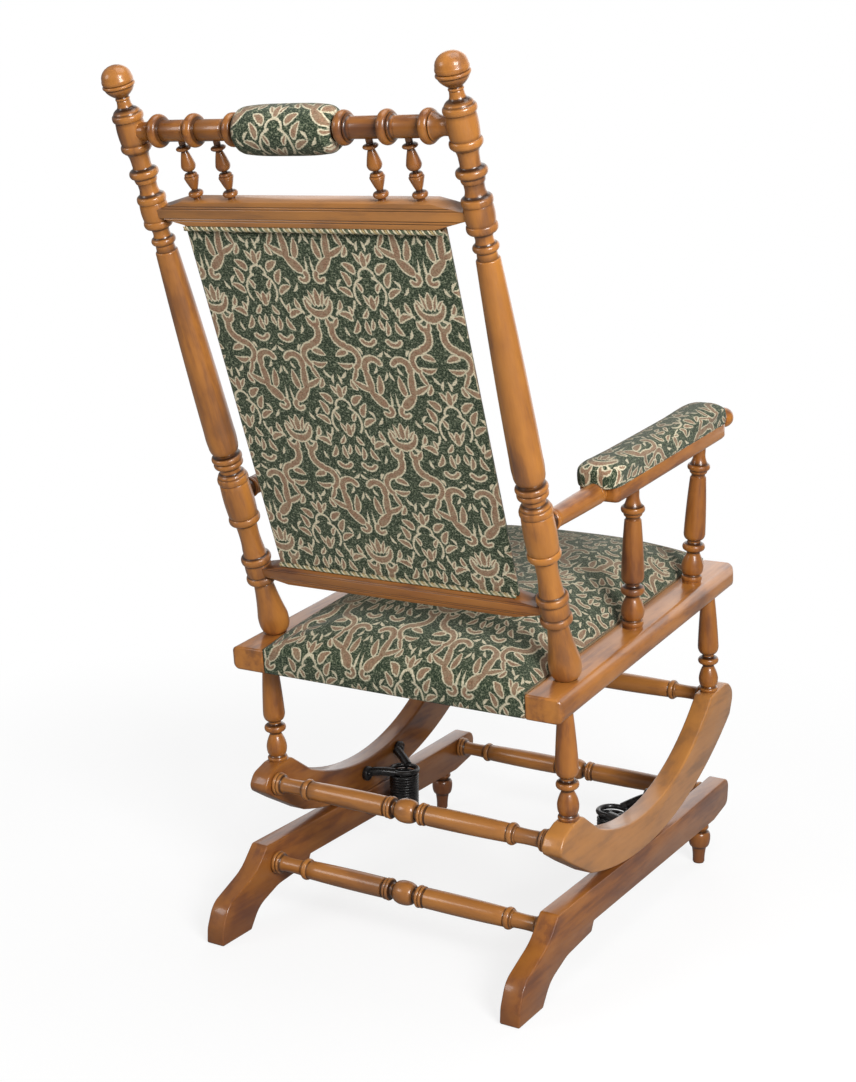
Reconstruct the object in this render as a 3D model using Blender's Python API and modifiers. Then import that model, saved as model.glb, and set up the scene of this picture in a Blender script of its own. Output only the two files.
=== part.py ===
"""Upholstered platform rocking chair: a turned wooden frame whose rockers roll on a sprung base.

Metres, +Z up. The sitter faces -Y and +X is the sitter's left. The origin is on the floor, under the middle.
"""

import math

import bmesh
import bpy
from mathutils import Matrix, Vector

# Fits
fit_gap = 0.0003  # clearance between any two pieces that meet
tenon_gap = 0.0003  # radial clearance of a round tenon in its socket
socket_sides = 8
arc_step = math.radians(24)  # turn of the outline for each straight facet of a rounded corner

# Width: the rockers set it, and the base, seat, posts and arms follow
rocker_spread = 0.2145  # middle of the chair to the middle of a rocker
base_inset = 0.001  # from the middle of a rocker in to the middle of the base rail under it
seat_rail_inset = 0.0275  # from the middle of a rocker in to the inner face of a seat rail
post_inset = 0.004  # from the middle of a rocker in to the middle of a post
arm_spindle_inset = 0.006  # from the middle of a rocker in to the foot of an arm spindle

# Seat frame, tilted up to the front
seat_tilt = math.radians(5.94)
seat_hinge_y = 0.1076  # where the posts stand on the seat rails
seat_hinge_z = 0.3835
seat_rail_inner = rocker_spread - seat_rail_inset
seat_rail_wide = 0.050
seat_rail_high = 0.032
seat_rail_round = 0.010
seat_rail_behind = 0.067  # rail end behind the posts
seat_rail_ahead = 0.484  # rail end ahead of the posts
seat_front_y = seat_hinge_y - seat_rail_ahead * math.cos(seat_tilt)
cross_rail_thick = 0.030
cross_rail_inset = 0.004  # cross rails stand in from the rail ends, for the cover
cross_tenon = 0.016
cross_tenon_across = 0.018
webbing_thick = 0.003
seat_pad_edge = 0.020
seat_pad_crown = 0.034

# Supports between the rockers and the seat rails
support_length = 0.143
rear_support_at = 0.017  # behind the posts, along the seat rail
front_support_in = 0.054  # from the front end of the seat rail to the middle of the front support
front_support_at = front_support_in - seat_rail_ahead
support_foot = 0.026  # diameters, from the foot up
support_vase = 0.027
support_ring = 0.028
support_taper = 0.029
support_head = 0.0177
support_tenon = 0.016
support_tenon_across = 0.012

# Rockers
rocker_thick = 0.027
contact_y = -0.084  # where the rockers touch the rails at rest
rocker_waist = 0.048  # depth of the rocker over its contact with the rail
rocker_hollow = 0.330  # radius of the rocker's hollow upper edge
rocker_rear_y = 0.156
rocker_overhang = 0.0302  # ahead of the seat rails
rocker_front_y = seat_front_y - rocker_overhang
support_seat = 0.014  # half length of the flat under a support
rear_stretcher_at = 0.024  # behind the rear support, along the seat
rear_stretcher_drop = 0.0223  # under the flat that takes the support
front_stretcher_at = -0.024  # ahead of the front support, along the seat
front_stretcher_drop = 0.0185

# Base that stays on the floor
base_spread = rocker_spread - base_inset
rail_thick = 0.026
rail_top = 0.103
rail_bottom = 0.058
rail_front_rise = 0.006  # the top climbs a little ahead of where the rockers roll
rail_short = 0.002  # the base rails stop this far behind the front of the rockers
rail_front_y = rocker_front_y + rail_short
rail_shoulder_y = 0.152  # where the level top turns down to the rear foot
toe_y = 0.252
sole_length = 0.062  # flat of the rear foot on the floor
arch_y = 0.053  # where the arch of the rear foot starts, behind a small step
foot_in = 0.077  # from the front of the base rail to the middle of the front foot
foot_y = rail_front_y + foot_in
foot_tenon = 0.022
foot_tenon_across = 0.012
base_rear_stretcher_y = 0.133
base_rear_stretcher_z = 0.075
base_front_stretcher_in = 0.044  # from the front of the base rail to the front stretcher
base_front_stretcher_y = rail_front_y + base_front_stretcher_in
base_front_stretcher_z = 0.0925

# Turned stretchers
stretcher_collar = 0.030
stretcher_neck = 0.0195
stretcher_ring = 0.028
stretcher_barrel = 0.0265
stretcher_ball = 0.031
stretcher_tenon = 0.014
stretcher_tenon_across = 0.014

# Back, measured along the raked posts from their feet
back_rake = math.radians(22.1)
post_spread = rocker_spread - post_inset
post_tenon = 0.020
post_foot = 0.0215
post_vase = 0.0395
post_block = 0.0373  # stout length that takes the arm
post_upper_block = 0.032  # stout lengths that take the cross rails and the crest
post_ring = 0.039
post_neck = 0.0245
post_shaft_low = 0.0376
post_shaft_high = 0.0262
finial_across = 0.0364
finial_high = 0.0364
lower_rail_at = 0.1005
arm_at = 0.211
shaft_start = 0.279
upper_rail_at = 0.5863
crest_at = 0.679
finial_at = 0.7355
back_rail_thick = 0.022
upper_rail_high = 0.0285
lower_rail_high = 0.026
back_rail_end = 0.034  # length of the tapered ends of a cross rail
back_rail_end_high = 0.017
back_tenon = 0.010
back_tenon_across = 0.013
back_panel_clear = 0.0412  # from the edge of the panel to the middle of a post
back_panel_half = post_spread - back_panel_clear
back_pad_inset = 0.004
back_panel_thick = 0.009
back_pad_thick = 0.012
back_pad_crown = 0.030

# Crest rail, headrest roll and crest spindles
crest_rod = 0.0235
crest_collar = 0.0365
crest_collar_at = (0.0705, 0.123, 0.172)
crest_tenon = 0.010
crest_tenon_across = 0.0135
roll_half = 0.0625
roll_across = 0.0545
roll_end_across = 0.045
roll_facets = 12
crest_spindle_at = (0.0975, 0.145)
crest_spindle_tenon = 0.006
crest_spindle_tenon_across = 0.007

# Arms, measured forward along each arm from the middle of its post
arm_rise = math.radians(7.2)
arm_splay = math.radians(1.75)
arm_rod_low = 0.0235
arm_rod_high = 0.0270
arm_tenon_across = 0.0135
arm_board_start = 0.145
arm_board_end = 0.481
arm_board_wide = 0.054
arm_board_thick = 0.0265
arm_board_lift = 0.0006  # the board's middle over the rod's axis, so that their tops are level
arm_board_round = 0.020
arm_knob_at = 0.520
arm_knob_across = 0.027
arm_pad_over = 0.011  # the pad runs past the board at the rear
arm_pad_short = 0.006  # and stops short of it at the front
arm_pad_edge = 0.022
arm_pad_crown = 0.018
arm_spindle_spread = rocker_spread - arm_spindle_inset
arm_spindle_in = 0.0983  # from the front end of the seat rail to the foot of the front spindle
arm_spindle_feet = (-0.1906, arm_spindle_in - seat_rail_ahead)  # along the seat rail
arm_spindle_heads = (0.239, 0.4425)  # along the arm
arm_spindle_foot = 0.028  # diameters, from the foot up
arm_spindle_vase = 0.030
arm_spindle_ring = 0.030
arm_spindle_taper = 0.029
arm_spindle_collar = 0.029
arm_spindle_head = 0.015
arm_spindle_tenon = 0.010
arm_spindle_tenon_across = 0.010
tack_head = 0.008
tack_shank = 0.003
tack_long = 0.009

# Springs and their brackets
spring_clear = 0.036  # from the inner face of a base rail to the middle of a spring
spring_spread = base_spread - rail_thick / 2 - spring_clear
spring_y = -0.132
spring_low = 0.063
spring_high = 0.126
spring_across = 0.040  # through the middle of the wire
spring_wire = 0.0046
spring_turns = 10
points_per_turn = 8
bracket_bar = 0.0075
ring_stand = bracket_bar / 2 + fit_gap  # middle of a bracket's ring beyond the end of the spring
boss_across = 0.019
boss_long = 0.006
upper_bosses = {"rear": (0.046, 0.132), "front": (-0.040, 0.145)}  # place along the rocker from the spring, height
lower_bosses = {"rear": (0.040, 0.080), "front": (-0.040, 0.080)}
screw_head = 0.0085
screw_head_high = 0.003
screw_shank = 0.0045
screw_long = 0.018

sides = {"left": 1, "right": -1}


def clear_scene():
    for item in list(bpy.data.objects):
        bpy.data.objects.remove(item)


def new_collection(name):
    made = bpy.data.collections.new(name)
    bpy.context.scene.collection.children.link(made)
    return made


clear_scene()
parts = new_collection("rocking_chair")
cutters = new_collection("cutters")


def principled(name, colour, roughness, metallic):
    made = bpy.data.materials.new(name)
    made.use_nodes = True
    shader = made.node_tree.nodes["Principled BSDF"]
    shader.inputs["Base Color"].default_value = (*colour, 1)
    shader.inputs["Roughness"].default_value = roughness
    shader.inputs["Metallic"].default_value = metallic
    return made


polished_wood = principled("polished_wood", (0.42, 0.17, 0.045), 0.32, 0.0)
hidden_wood = principled("hidden_wood", (0.50, 0.36, 0.22), 0.7, 0.0)
damask = principled("damask", (0.07, 0.09, 0.055), 0.9, 0.0)
hessian = principled("hessian", (0.42, 0.31, 0.19), 0.95, 0.0)
black_iron = principled("black_iron", (0.015, 0.015, 0.016), 0.35, 0.8)
tack_brass = principled("tack_brass", (0.35, 0.25, 0.10), 0.4, 1.0)


def empty_at(name, place):
    made = bpy.data.objects.new(name, None)
    made.location = place
    parts.objects.link(made)
    return made


def add_part(name, mesh, material, parent, matrix):
    """Places a mesh in the world as a named piece that follows the parent empty."""
    made = bpy.data.objects.new(name, mesh)
    mesh.materials.append(material)
    parts.objects.link(made)
    made.parent = parent
    made.matrix_parent_inverse = Matrix.Translation(parent.location).inverted()
    made.matrix_basis = matrix
    return made


def add_helper(name, mesh, matrix):
    made = bpy.data.objects.new(name, mesh)
    made.hide_render = True
    made.display_type = "WIRE"
    made.matrix_basis = matrix
    cutters.objects.link(made)
    return made


def combine(target, helper, operation):
    """Cuts a helper out of a piece, or joins it to the piece."""
    step = target.modifiers.new(helper.name, "BOOLEAN")
    step.operation = operation
    step.solver = "EXACT"
    step.object = helper


def along(direction, place):
    """Matrix whose Z axis runs along a direction, with X as near level as it can be."""
    z_axis = direction.normalized()
    level = Vector((0, 0, 1)) if abs(z_axis.z) < 0.9 else Vector((0, 1, 0))
    x_axis = level.cross(z_axis).normalized()
    y_axis = z_axis.cross(x_axis)
    turn = Matrix((x_axis, y_axis, z_axis)).transposed().to_4x4()
    return Matrix.Translation(place) @ turn


def mesh_from(build):
    shape = bmesh.new()
    build(shape)
    mesh = bpy.data.meshes.new("shape")
    shape.to_mesh(mesh)
    shape.free()
    return mesh


def rod_mesh(radius, start, end, count):
    """Plain closed cylinder along Z."""
    def build(shape):
        middle = Matrix.Translation((0, 0, (start + end) / 2))
        bmesh.ops.create_cone(
            shape, cap_ends=True, segments=count, radius1=radius, radius2=radius, depth=end - start, matrix=middle
        )
    return mesh_from(build)


def drill(target, mouth, inward, depth, across):
    """Cuts the socket of a round tenon, from its mouth inwards."""
    radius = (across / 2 + tenon_gap) / math.cos(math.pi / socket_sides)
    mesh = rod_mesh(radius, -across, depth + fit_gap, socket_sides)
    name = f"{target.name}_socket_{len(target.modifiers)}"
    combine(target, add_helper(name, mesh, along(inward, mouth)), "DIFFERENCE")


# Turned shapes are lists of stations: distance along the piece, and diameter


def ring(at, across, wide, root):
    return [(at - wide / 2, root), (at, across), (at + wide / 2, root)]


def ball(at, across, high, facets):
    """Stations of a ball or egg between its two poles, poles left out."""
    found = []
    for step in range(1, facets):
        turn = math.pi * step / facets
        found.append((at - high / 2 * math.cos(turn), across * math.sin(turn)))
    return found


def mirrored(half, length):
    return half + [(length - at, across) for at, across in reversed(half)]


def profile_mesh(stations):
    """Half outline of a turned piece, run from top to bottom at +X for the Screw."""
    rows = [(at, across / 2) for at, across in stations]
    points = [(0, 0, rows[-1][0])]
    points += [(radius, 0, at) for at, radius in reversed(rows)]
    points.append((0, 0, rows[0][0]))
    mesh = bpy.data.meshes.new("turning")
    mesh.from_pydata(points, [(i, i + 1) for i in range(len(points) - 1)], [])
    return mesh


def spin(target, count):
    step = target.modifiers.new("turn", "SCREW")
    step.steps = count
    step.render_steps = count
    step.use_merge_vertices = True
    step.merge_threshold = 0.00001
    step.use_smooth_shade = True


def turned(name, stations, count, material, parent, matrix):
    made = add_part(name, profile_mesh(stations), material, parent, matrix)
    spin(made, count)
    return made


# Flat outlines are lists of corners with the radius each is rounded to


def rounded(corners):
    """Points of a closed outline whose corners are (a, b, radius)."""
    found = []
    count = len(corners)
    for i, (a, b, radius) in enumerate(corners):
        here = Vector((a, b))
        back = Vector(corners[i - 1][:2]) - here
        ahead = Vector(corners[(i + 1) % count][:2]) - here
        half = back.angle(ahead) / 2
        if radius == 0 or math.pi / 2 - half < 0.01:
            found.append(here)
            continue
        run = min(radius / math.tan(half), 0.48 * back.length, 0.48 * ahead.length)
        radius = run * math.tan(half)
        middle = here + (back.normalized() + ahead.normalized()).normalized() * radius / math.sin(half)
        start = here + back.normalized() * run - middle
        sweep = math.pi - 2 * half
        if start.to_3d().cross((here - middle).to_3d()).z < 0:
            sweep = -sweep
        steps = max(1, math.ceil(abs(sweep) / arc_step))
        for step in range(steps + 1):
            found.append(middle + Matrix.Rotation(sweep * step / steps, 2) @ start)
    return found


def plate_mesh(outline, thick):
    """Closed plate of a flat outline, half its thickness to each side of local Z = 0."""
    flat = bpy.data.curves.new("outline", "CURVE")
    flat.dimensions = "2D"
    flat.fill_mode = "BOTH"
    flat.extrude = thick / 2
    line = flat.splines.new("POLY")
    line.points.add(len(outline) - 1)
    for point, place in zip(line.points, outline):
        point.co = (place[0], place[1], 0, 1)
    line.use_cyclic_u = True
    return curve_mesh(flat)


def curve_mesh(curve):
    """Closed mesh of a curve, with its caps welded to its sides."""
    holder = bpy.data.objects.new("curve", curve)
    bpy.context.scene.collection.objects.link(holder)
    bpy.context.view_layer.update()
    graph = bpy.context.evaluated_depsgraph_get()
    mesh = bpy.data.meshes.new_from_object(holder.evaluated_get(graph))
    bpy.data.objects.remove(holder)
    shape = bmesh.new()
    shape.from_mesh(mesh)
    bmesh.ops.remove_doubles(shape, verts=shape.verts, dist=0.00001)
    bmesh.ops.recalc_face_normals(shape, faces=shape.faces)
    shape.to_mesh(mesh)
    shape.free()
    return mesh


def tube_mesh(points, across, resolution):
    """Closed tube along straight runs between points."""
    path = bpy.data.curves.new("path", "CURVE")
    path.dimensions = "3D"
    path.bevel_depth = across / 2
    path.bevel_resolution = resolution
    path.use_fill_caps = True
    line = path.splines.new("POLY")
    line.points.add(len(points) - 1)
    for point, place in zip(line.points, points):
        point.co = (*place, 1)
    return curve_mesh(path)


# Local frames

side_view = Matrix(((0, 0, 1, 0), (1, 0, 0, 0), (0, 1, 0, 0), (0, 0, 0, 1)))  # outline of Y and Z, thickness in X
seat_frame = Matrix.Translation((0, seat_hinge_y, seat_hinge_z)) @ Matrix.Rotation(-seat_tilt, 4, "X")
back_frame = Matrix.Translation((0, seat_hinge_y, seat_hinge_z)) @ Matrix.Rotation(-back_rake, 4, "X")
seat_up = (seat_frame.to_3x3() @ Vector((0, 0, 1))).normalized()


def on_seat(x, along_rail, up):
    return seat_frame @ Vector((x, along_rail, up))


def on_back(x, rearward, up):
    return back_frame @ Vector((x, rearward, up))


def arm_frame(side):
    """Frame of one arm: Z runs forward along it, Y is up and X is across it, from the middle of the post."""
    forward = Vector(
        (side * math.sin(arm_splay) * math.cos(arm_rise), -math.cos(arm_splay) * math.cos(arm_rise), math.sin(arm_rise))
    )
    across = forward.cross(Vector((0, 0, 1))).normalized()
    up = across.cross(forward)
    turn = Matrix((-across, up, forward)).transposed().to_4x4()
    return Matrix.Translation(on_back(side * post_spread, 0, arm_at)) @ turn


def arm_axis_height(y):
    """Height of the arm's axis where it passes over a place along the chair."""
    start = on_back(post_spread, 0, arm_at)
    return start.z + (start.y - y) * math.tan(arm_rise) / math.cos(arm_splay)


# The rockers are struck from a centre level with the arms, over their contact with the rails

arc_centre_z = arm_axis_height(contact_y)
rocker_radius = arc_centre_z - rail_top - fit_gap
chair_axis = empty_at("rocking_axis", (0, contact_y, arc_centre_z))
base_root = empty_at("base_root", (0, 0, 0))
print(f"rocker radius {rocker_radius:.6f} about y {contact_y:.4f} z {arc_centre_z:.6f}")


def base_rail(name, side):
    corners = [
        (rail_front_y, rail_top + rail_front_rise, 0.016),
        (rail_front_y + 0.003, rail_bottom + 0.010, 0.012),
        (rail_front_y + 0.055, rail_bottom, 0.030),
        (arch_y, rail_bottom, 0.002),
        (arch_y + 0.006, rail_bottom - 0.012, 0.004),
        (arch_y + 0.075, rail_bottom - 0.017, 0.050),
        (toe_y - sole_length - 0.018, 0.026, 0.040),
        (toe_y - sole_length, 0, 0.003),
        (toe_y, 0, 0.003),
        (toe_y - 0.001, 0.021, 0.030),
        (toe_y - 0.013, 0.050, 0.030),
        (rail_shoulder_y + 0.026, rail_top - 0.028, 0.060),
        (rail_shoulder_y, rail_top, 0.006),
        (2.4 * contact_y, rail_top, 0),
    ]
    mesh = plate_mesh(rounded(corners), rail_thick)
    place = Matrix.Translation((side * base_spread, 0, 0)) @ side_view
    made = add_part(name, mesh, polished_wood, base_root, place)
    inward = Vector((side, 0, 0))
    face = side * (base_spread - rail_thick / 2)
    for y, z in (
        (base_rear_stretcher_y, base_rear_stretcher_z),
        (base_front_stretcher_y, base_front_stretcher_z),
    ):
        drill(made, Vector((face, y, z)), inward, stretcher_tenon, stretcher_tenon_across)
    drill(made, Vector((side * base_spread, foot_y, rail_bottom)), Vector((0, 0, 1)), foot_tenon, foot_tenon_across)
    drill_bracket(made, side, face, lower_bosses)
    return made


def drill_bracket(target, side, face, bosses):
    for reach, boss_z in bosses.values():
        mouth = Vector((face, spring_y + reach, boss_z))
        drill(target, mouth, Vector((side, 0, 0)), screw_long - boss_long, screw_shank)


def front_foot(name, side):
    top = rail_bottom - fit_gap
    stations = [(0, 0.0165), (0.002, 0.0175), (0.022, 0.0165), (0.028, 0.024), (0.036, 0.030), (0.042, 0.031)]
    stations += [(0.047, 0.026), (top - 0.007, 0.0205), (top - 0.005, 0.025), (top - 0.001, 0.025), (top, 0.022)]
    stations += [(top, foot_tenon_across), (top + foot_tenon, foot_tenon_across)]
    place = Matrix.Translation((side * base_spread, foot_y, 0))
    turned(name, stations, 8, polished_wood, base_root, place)


def stretcher(name, face, y, z, parent):
    """Turned stretcher between two facing plates, with a tenon in each."""
    half = face - fit_gap
    stations = [(-stretcher_tenon, stretcher_tenon_across), (0, stretcher_tenon_across), (0, 0.026)]
    stations += [(0.003, stretcher_collar), (0.008, stretcher_collar), (0.012, 0.023), (0.016, stretcher_neck)]
    stations += [(0.044, stretcher_neck)] + ring(0.0505, stretcher_ring, 0.010, 0.0225)
    stations += [(half - 0.032, stretcher_barrel)] + ring(half - 0.0245, stretcher_ring + 0.001, 0.010, 0.021)
    stations += [(half - 0.016, 0.017), (half - 0.011, 0.0265), (half - 0.004, stretcher_ball)]
    place = along(Vector((1, 0, 0)), Vector((-half, y, z)))
    turned(name, mirrored(stations, 2 * half), 8, polished_wood, parent, place)


def rocker_outline():
    """Closed outline of a rocker in Y and Z: arcs below and above, flats for the two supports at its ends."""
    flat = -seat_rail_high - support_length - fit_gap

    def flat_point(at):
        place = on_seat(0, at, flat)
        return place.y, place.z

    def arc_point(centre_z, radius, y):
        return y, centre_z - math.sqrt(radius ** 2 - (y - contact_y) ** 2)

    hollow_z = rail_top + fit_gap + rocker_waist + rocker_hollow
    front_flat = flat_point(front_support_at + 1.5 * support_seat)
    rear_flat = flat_point(rear_support_at - support_seat)
    hollow_front = contact_y - math.sqrt(rocker_hollow ** 2 - (hollow_z - front_flat[1]) ** 2)
    hollow_rear = rear_flat[0] - 0.045
    outline = []
    steps = 11
    bottom_front, bottom_rear = rocker_front_y + 0.012, rocker_rear_y - 0.080
    for step in range(steps + 1):
        turn = step / steps
        outline.append((*arc_point(arc_centre_z, rocker_radius, bottom_front + (bottom_rear - bottom_front) * turn), 0))
    rear_end = flat_point(rear_support_at + support_seat)
    outline.append((rocker_rear_y - 0.030, outline[-1][1] + 0.027, 0.040))
    outline.append((rocker_rear_y, outline[-1][1] + 0.022, 0.014))
    outline.append((rocker_rear_y - 0.012, rear_end[1] - 0.008, 0.010))
    outline.append((*rear_end, 0.006))
    outline.append((*rear_flat, 0.014))
    for step in range(steps + 1):
        turn = step / steps
        outline.append((*arc_point(hollow_z, rocker_hollow, hollow_rear + (hollow_front - hollow_rear) * turn), 0))
    front_end = flat_point(front_support_at - 3 * support_seat)
    outline.append((*front_end, 0.010))
    outline.append((rocker_front_y, front_end[1] - 0.020, 0.012))
    return rounded(outline)


def rocker_stretcher_places():
    """Middles of the rear and front stretchers between the rockers, under their supports."""
    flat = -seat_rail_high - support_length
    rear = on_seat(0, rear_support_at + rear_stretcher_at, flat - rear_stretcher_drop)
    return rear, on_seat(0, front_support_at + front_stretcher_at, flat - front_stretcher_drop)


def rocker(name, side):
    mesh = plate_mesh(rocker_outline(), rocker_thick)
    place = Matrix.Translation((side * rocker_spread, 0, 0)) @ side_view
    made = add_part(name, mesh, polished_wood, chair_axis, place)
    face = side * (rocker_spread - rocker_thick / 2)
    for place in rocker_stretcher_places():
        mouth = Vector((face, place.y, place.z))
        drill(made, mouth, Vector((side, 0, 0)), stretcher_tenon, stretcher_tenon_across)
    for at in (rear_support_at, front_support_at):
        mouth = on_seat(side * rocker_spread, at, -seat_rail_high - support_length - fit_gap)
        drill(made, mouth, -seat_up, support_tenon, support_tenon_across)
    drill_bracket(made, side, face, upper_bosses)


def support_spindle(name, side, at):
    length = support_length - fit_gap
    stations = [(-support_tenon, support_tenon_across), (0, support_tenon_across), (0, 0.023)]
    stations += [(0.002, support_foot), (0.006, support_foot), (0.009, 0.8 * support_foot)]
    stations += [(0.014, 0.945 * support_vase), (0.020, support_vase), (0.029, 0.815 * support_vase)]
    stations += [(0.037, 0.58 * support_vase)] + ring(0.0455, support_ring, 0.009, 0.68 * support_ring)
    stations += [(0.054, 0.55 * support_taper), (0.060, 0.915 * support_taper), (0.067, support_taper)]
    stations.append((length, support_head))
    stations += [(length, support_tenon_across), (length + support_tenon, support_tenon_across)]
    foot = on_seat(side * rocker_spread, at, -seat_rail_high - support_length)
    turned(name, stations, 8, polished_wood, chair_axis, along(seat_up, foot))


def seat_side_rail(name, side):
    length = seat_rail_behind + seat_rail_ahead

    def build(shape):
        bmesh.ops.create_cube(shape, size=1)
        bmesh.ops.scale(shape, vec=(seat_rail_wide, length, seat_rail_high), verts=shape.verts)
        long_edges = []
        end_edges = []
        for edge in shape.edges:
            middle = (edge.verts[0].co + edge.verts[1].co) / 2
            if middle.x * side > 0.4 * seat_rail_wide and abs(middle.y) < 0.1 * length:
                long_edges.append(edge)
            if middle.x * side > 0.4 * seat_rail_wide and abs(middle.z) < 0.1 * seat_rail_high:
                end_edges.append(edge)
        bmesh.ops.bevel(
            shape, geom=long_edges + end_edges, offset=seat_rail_round, segments=3, profile=0.5, affect="EDGES"
        )

    across = side * (seat_rail_inner + seat_rail_wide / 2)
    middle = Vector((across, (seat_rail_behind - seat_rail_ahead) / 2, -seat_rail_high / 2))
    made = add_part(name, mesh_from(build), polished_wood, chair_axis, seat_frame @ Matrix.Translation(middle))
    foot = on_back(side * post_spread, 0, 0)
    drill(made, foot, on_back(0, 0, 0) - on_back(0, 0, 1), post_tenon, post_foot)
    for at in (rear_support_at, front_support_at):
        mouth = on_seat(side * rocker_spread, at, -seat_rail_high)
        drill(made, mouth, seat_up, support_tenon, support_tenon_across)
    for foot, head in arm_spindle_lines(side):
        drill(made, foot, foot - head, arm_spindle_tenon, arm_spindle_tenon_across)
    for at in cross_rail_places():
        mouth = on_seat(side * seat_rail_inner, at, -seat_rail_high / 2)
        drill(made, mouth, Vector((side, 0, 0)), cross_tenon, cross_tenon_across)
    return made


def cross_rail_places():
    """Middles of the rear and front seat rails, along the seat."""
    inset = cross_rail_inset + cross_rail_thick / 2
    return seat_rail_behind - inset, inset - seat_rail_ahead


def seat_cross_rail(name, at):
    half = seat_rail_inner - fit_gap

    def build(shape):
        bmesh.ops.create_cube(shape, size=1)
        high = seat_rail_high - webbing_thick - 2 * fit_gap
        bmesh.ops.scale(shape, vec=(2 * half, cross_rail_thick, high), verts=shape.verts)

    middle = Vector((0, at, -(seat_rail_high + webbing_thick) / 2))
    made = add_part(name, mesh_from(build), hidden_wood, chair_axis, seat_frame @ Matrix.Translation(middle))
    centre = on_seat(0, at, -seat_rail_high / 2)
    tenons = rod_mesh(cross_tenon_across / 2, -half - cross_tenon, half + cross_tenon, 10)
    combine(made, add_helper(name + "_tenons", tenons, along(Vector((1, 0, 0)), centre)), "UNION")


def seat_webbing(name):
    rear = seat_rail_behind - cross_rail_inset
    front = cross_rail_inset - seat_rail_ahead
    mesh = plate_mesh(rounded(rectangle(seat_rail_inner - fit_gap, front, rear, 0.004)), webbing_thick)
    add_part(name, mesh, hessian, chair_axis, seat_frame @ Matrix.Translation((0, 0, -webbing_thick / 2)))


def rectangle(half, low, high, radius):
    return [(-half, low, radius), (half, low, radius), (half, high, radius), (-half, high, radius)]


def cushion_mesh(half, low, high, edge, crown, cuts, draw):
    """Crowned pad on local Z = 0: its sides bulge, and draw in between the corners."""
    def build(shape):
        bmesh.ops.create_cube(shape, size=2)
        bmesh.ops.subdivide_edges(shape, edges=shape.edges, cuts=cuts, use_grid_fill=True)
        for point in shape.verts:
            a, b, up = point.co.x, point.co.y, (point.co.z + 1) / 2
            dome = (1 - a ** 4) * (1 - b ** 4)
            bulge = 1 - 0.35 * draw * (1 - math.sin(math.pi * min(up + 0.15, 1)))
            waist_a = bulge - draw * (1 - b ** 2) * up
            waist_b = bulge - draw * (1 - a ** 2) * up
            corner = 1 - 0.06 * a ** 2 * b ** 2
            point.co.x = half * a * waist_a * corner
            point.co.y = (low + high) / 2 + (high - low) / 2 * b * waist_b * corner
            point.co.z = up * (edge + crown * dome)
    return mesh_from(build)


def seat_pad(name):
    rear = seat_rail_behind - cross_rail_inset
    front = cross_rail_inset - seat_rail_ahead
    half = seat_rail_inner - fit_gap
    mesh = cushion_mesh(half, front, rear, seat_pad_edge, seat_pad_crown, 6, 0.03)
    add_part(name, mesh, damask, chair_axis, seat_frame @ Matrix.Translation((0, 0, fit_gap)))


def post_turning():
    """Stations of a back post from its foot to the top of its finial."""
    post_stand = fit_gap + 0.013 * math.tan(back_rake + seat_tilt)  # the raked shoulder clears the rail
    lower, arm, upper, crest = lower_rail_at, arm_at, upper_rail_at, crest_at
    stations = [(-post_tenon, post_foot), (post_stand, post_foot), (post_stand, 0.026), (0.011, 0.0345)]
    stations += [(0.019, post_vase), (0.031, 0.038)]
    stations += [(lower - 0.050, 0.0315), (lower - 0.022, post_neck)] + ring(lower - 0.0145, post_ring, 0.010, 0.034)
    stations += ring(lower + 0.0145, post_ring, 0.010, 0.034)
    stations += [(lower + 0.030, 0.0285), (lower + 0.046, 0.0262), (lower + 0.066, 0.0272)]
    stations += ring(arm - 0.036, post_ring + 0.001, 0.010, post_block) + ring(arm + 0.023, post_ring, 0.010, post_block)
    stations += [(arm + 0.035, 0.0255)] + ring(arm + 0.0475, 0.0377, 0.011, 0.030)
    stations += [(shaft_start - 0.011, 0.026), (shaft_start, post_shaft_low), (shaft_start + 0.022, post_shaft_low)]
    stations += [(upper - 0.050, post_shaft_high), (upper - 0.044, 0.022)] + ring(upper - 0.036, 0.0284, 0.009, 0.021)
    stations += [(upper - 0.026, 0.0198)] + ring(upper - 0.0137, 0.0337, 0.010, post_upper_block)
    stations += ring(upper + 0.0137, 0.0337, 0.010, post_upper_block)
    stations += [(upper + 0.029, 0.021)] + ring(upper + 0.045, 0.0335, 0.012, 0.026)
    stations += [(crest - 0.035, 0.0215)] + ring(crest - 0.0167, 0.0352, 0.010, post_upper_block)
    stations += ring(crest + 0.0167, 0.0354, 0.010, post_upper_block)
    stations += [(crest + 0.028, 0.017), (finial_at - finial_high / 2 - 0.001, 0.0136)]
    stations += ball(finial_at, finial_across, finial_high, 7)[1:]
    return stations


def back_post(name, side):
    foot = on_back(side * post_spread, 0, 0)
    up = on_back(0, 0, 1) - on_back(0, 0, 0)
    made = turned(name, post_turning(), 8, polished_wood, chair_axis, along(up, foot))
    inward = Vector((side, 0, 0))
    for at in (lower_rail_at, upper_rail_at):
        mouth = on_back(side * (post_spread - post_ring / 2), 0, at)
        drill(made, mouth, inward, back_tenon + post_ring / 2 - post_upper_block / 2, back_tenon_across)
    mouth = on_back(side * (post_spread - post_upper_block / 2), 0, crest_at)
    drill(made, mouth, inward, crest_tenon, crest_tenon_across)
    frame = arm_frame(side)
    forward = (frame.to_3x3() @ Vector((0, 0, 1))).normalized()
    drill(made, frame.translation + forward * post_block / 2, -forward, post_block / 2, arm_tenon_across)


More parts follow.
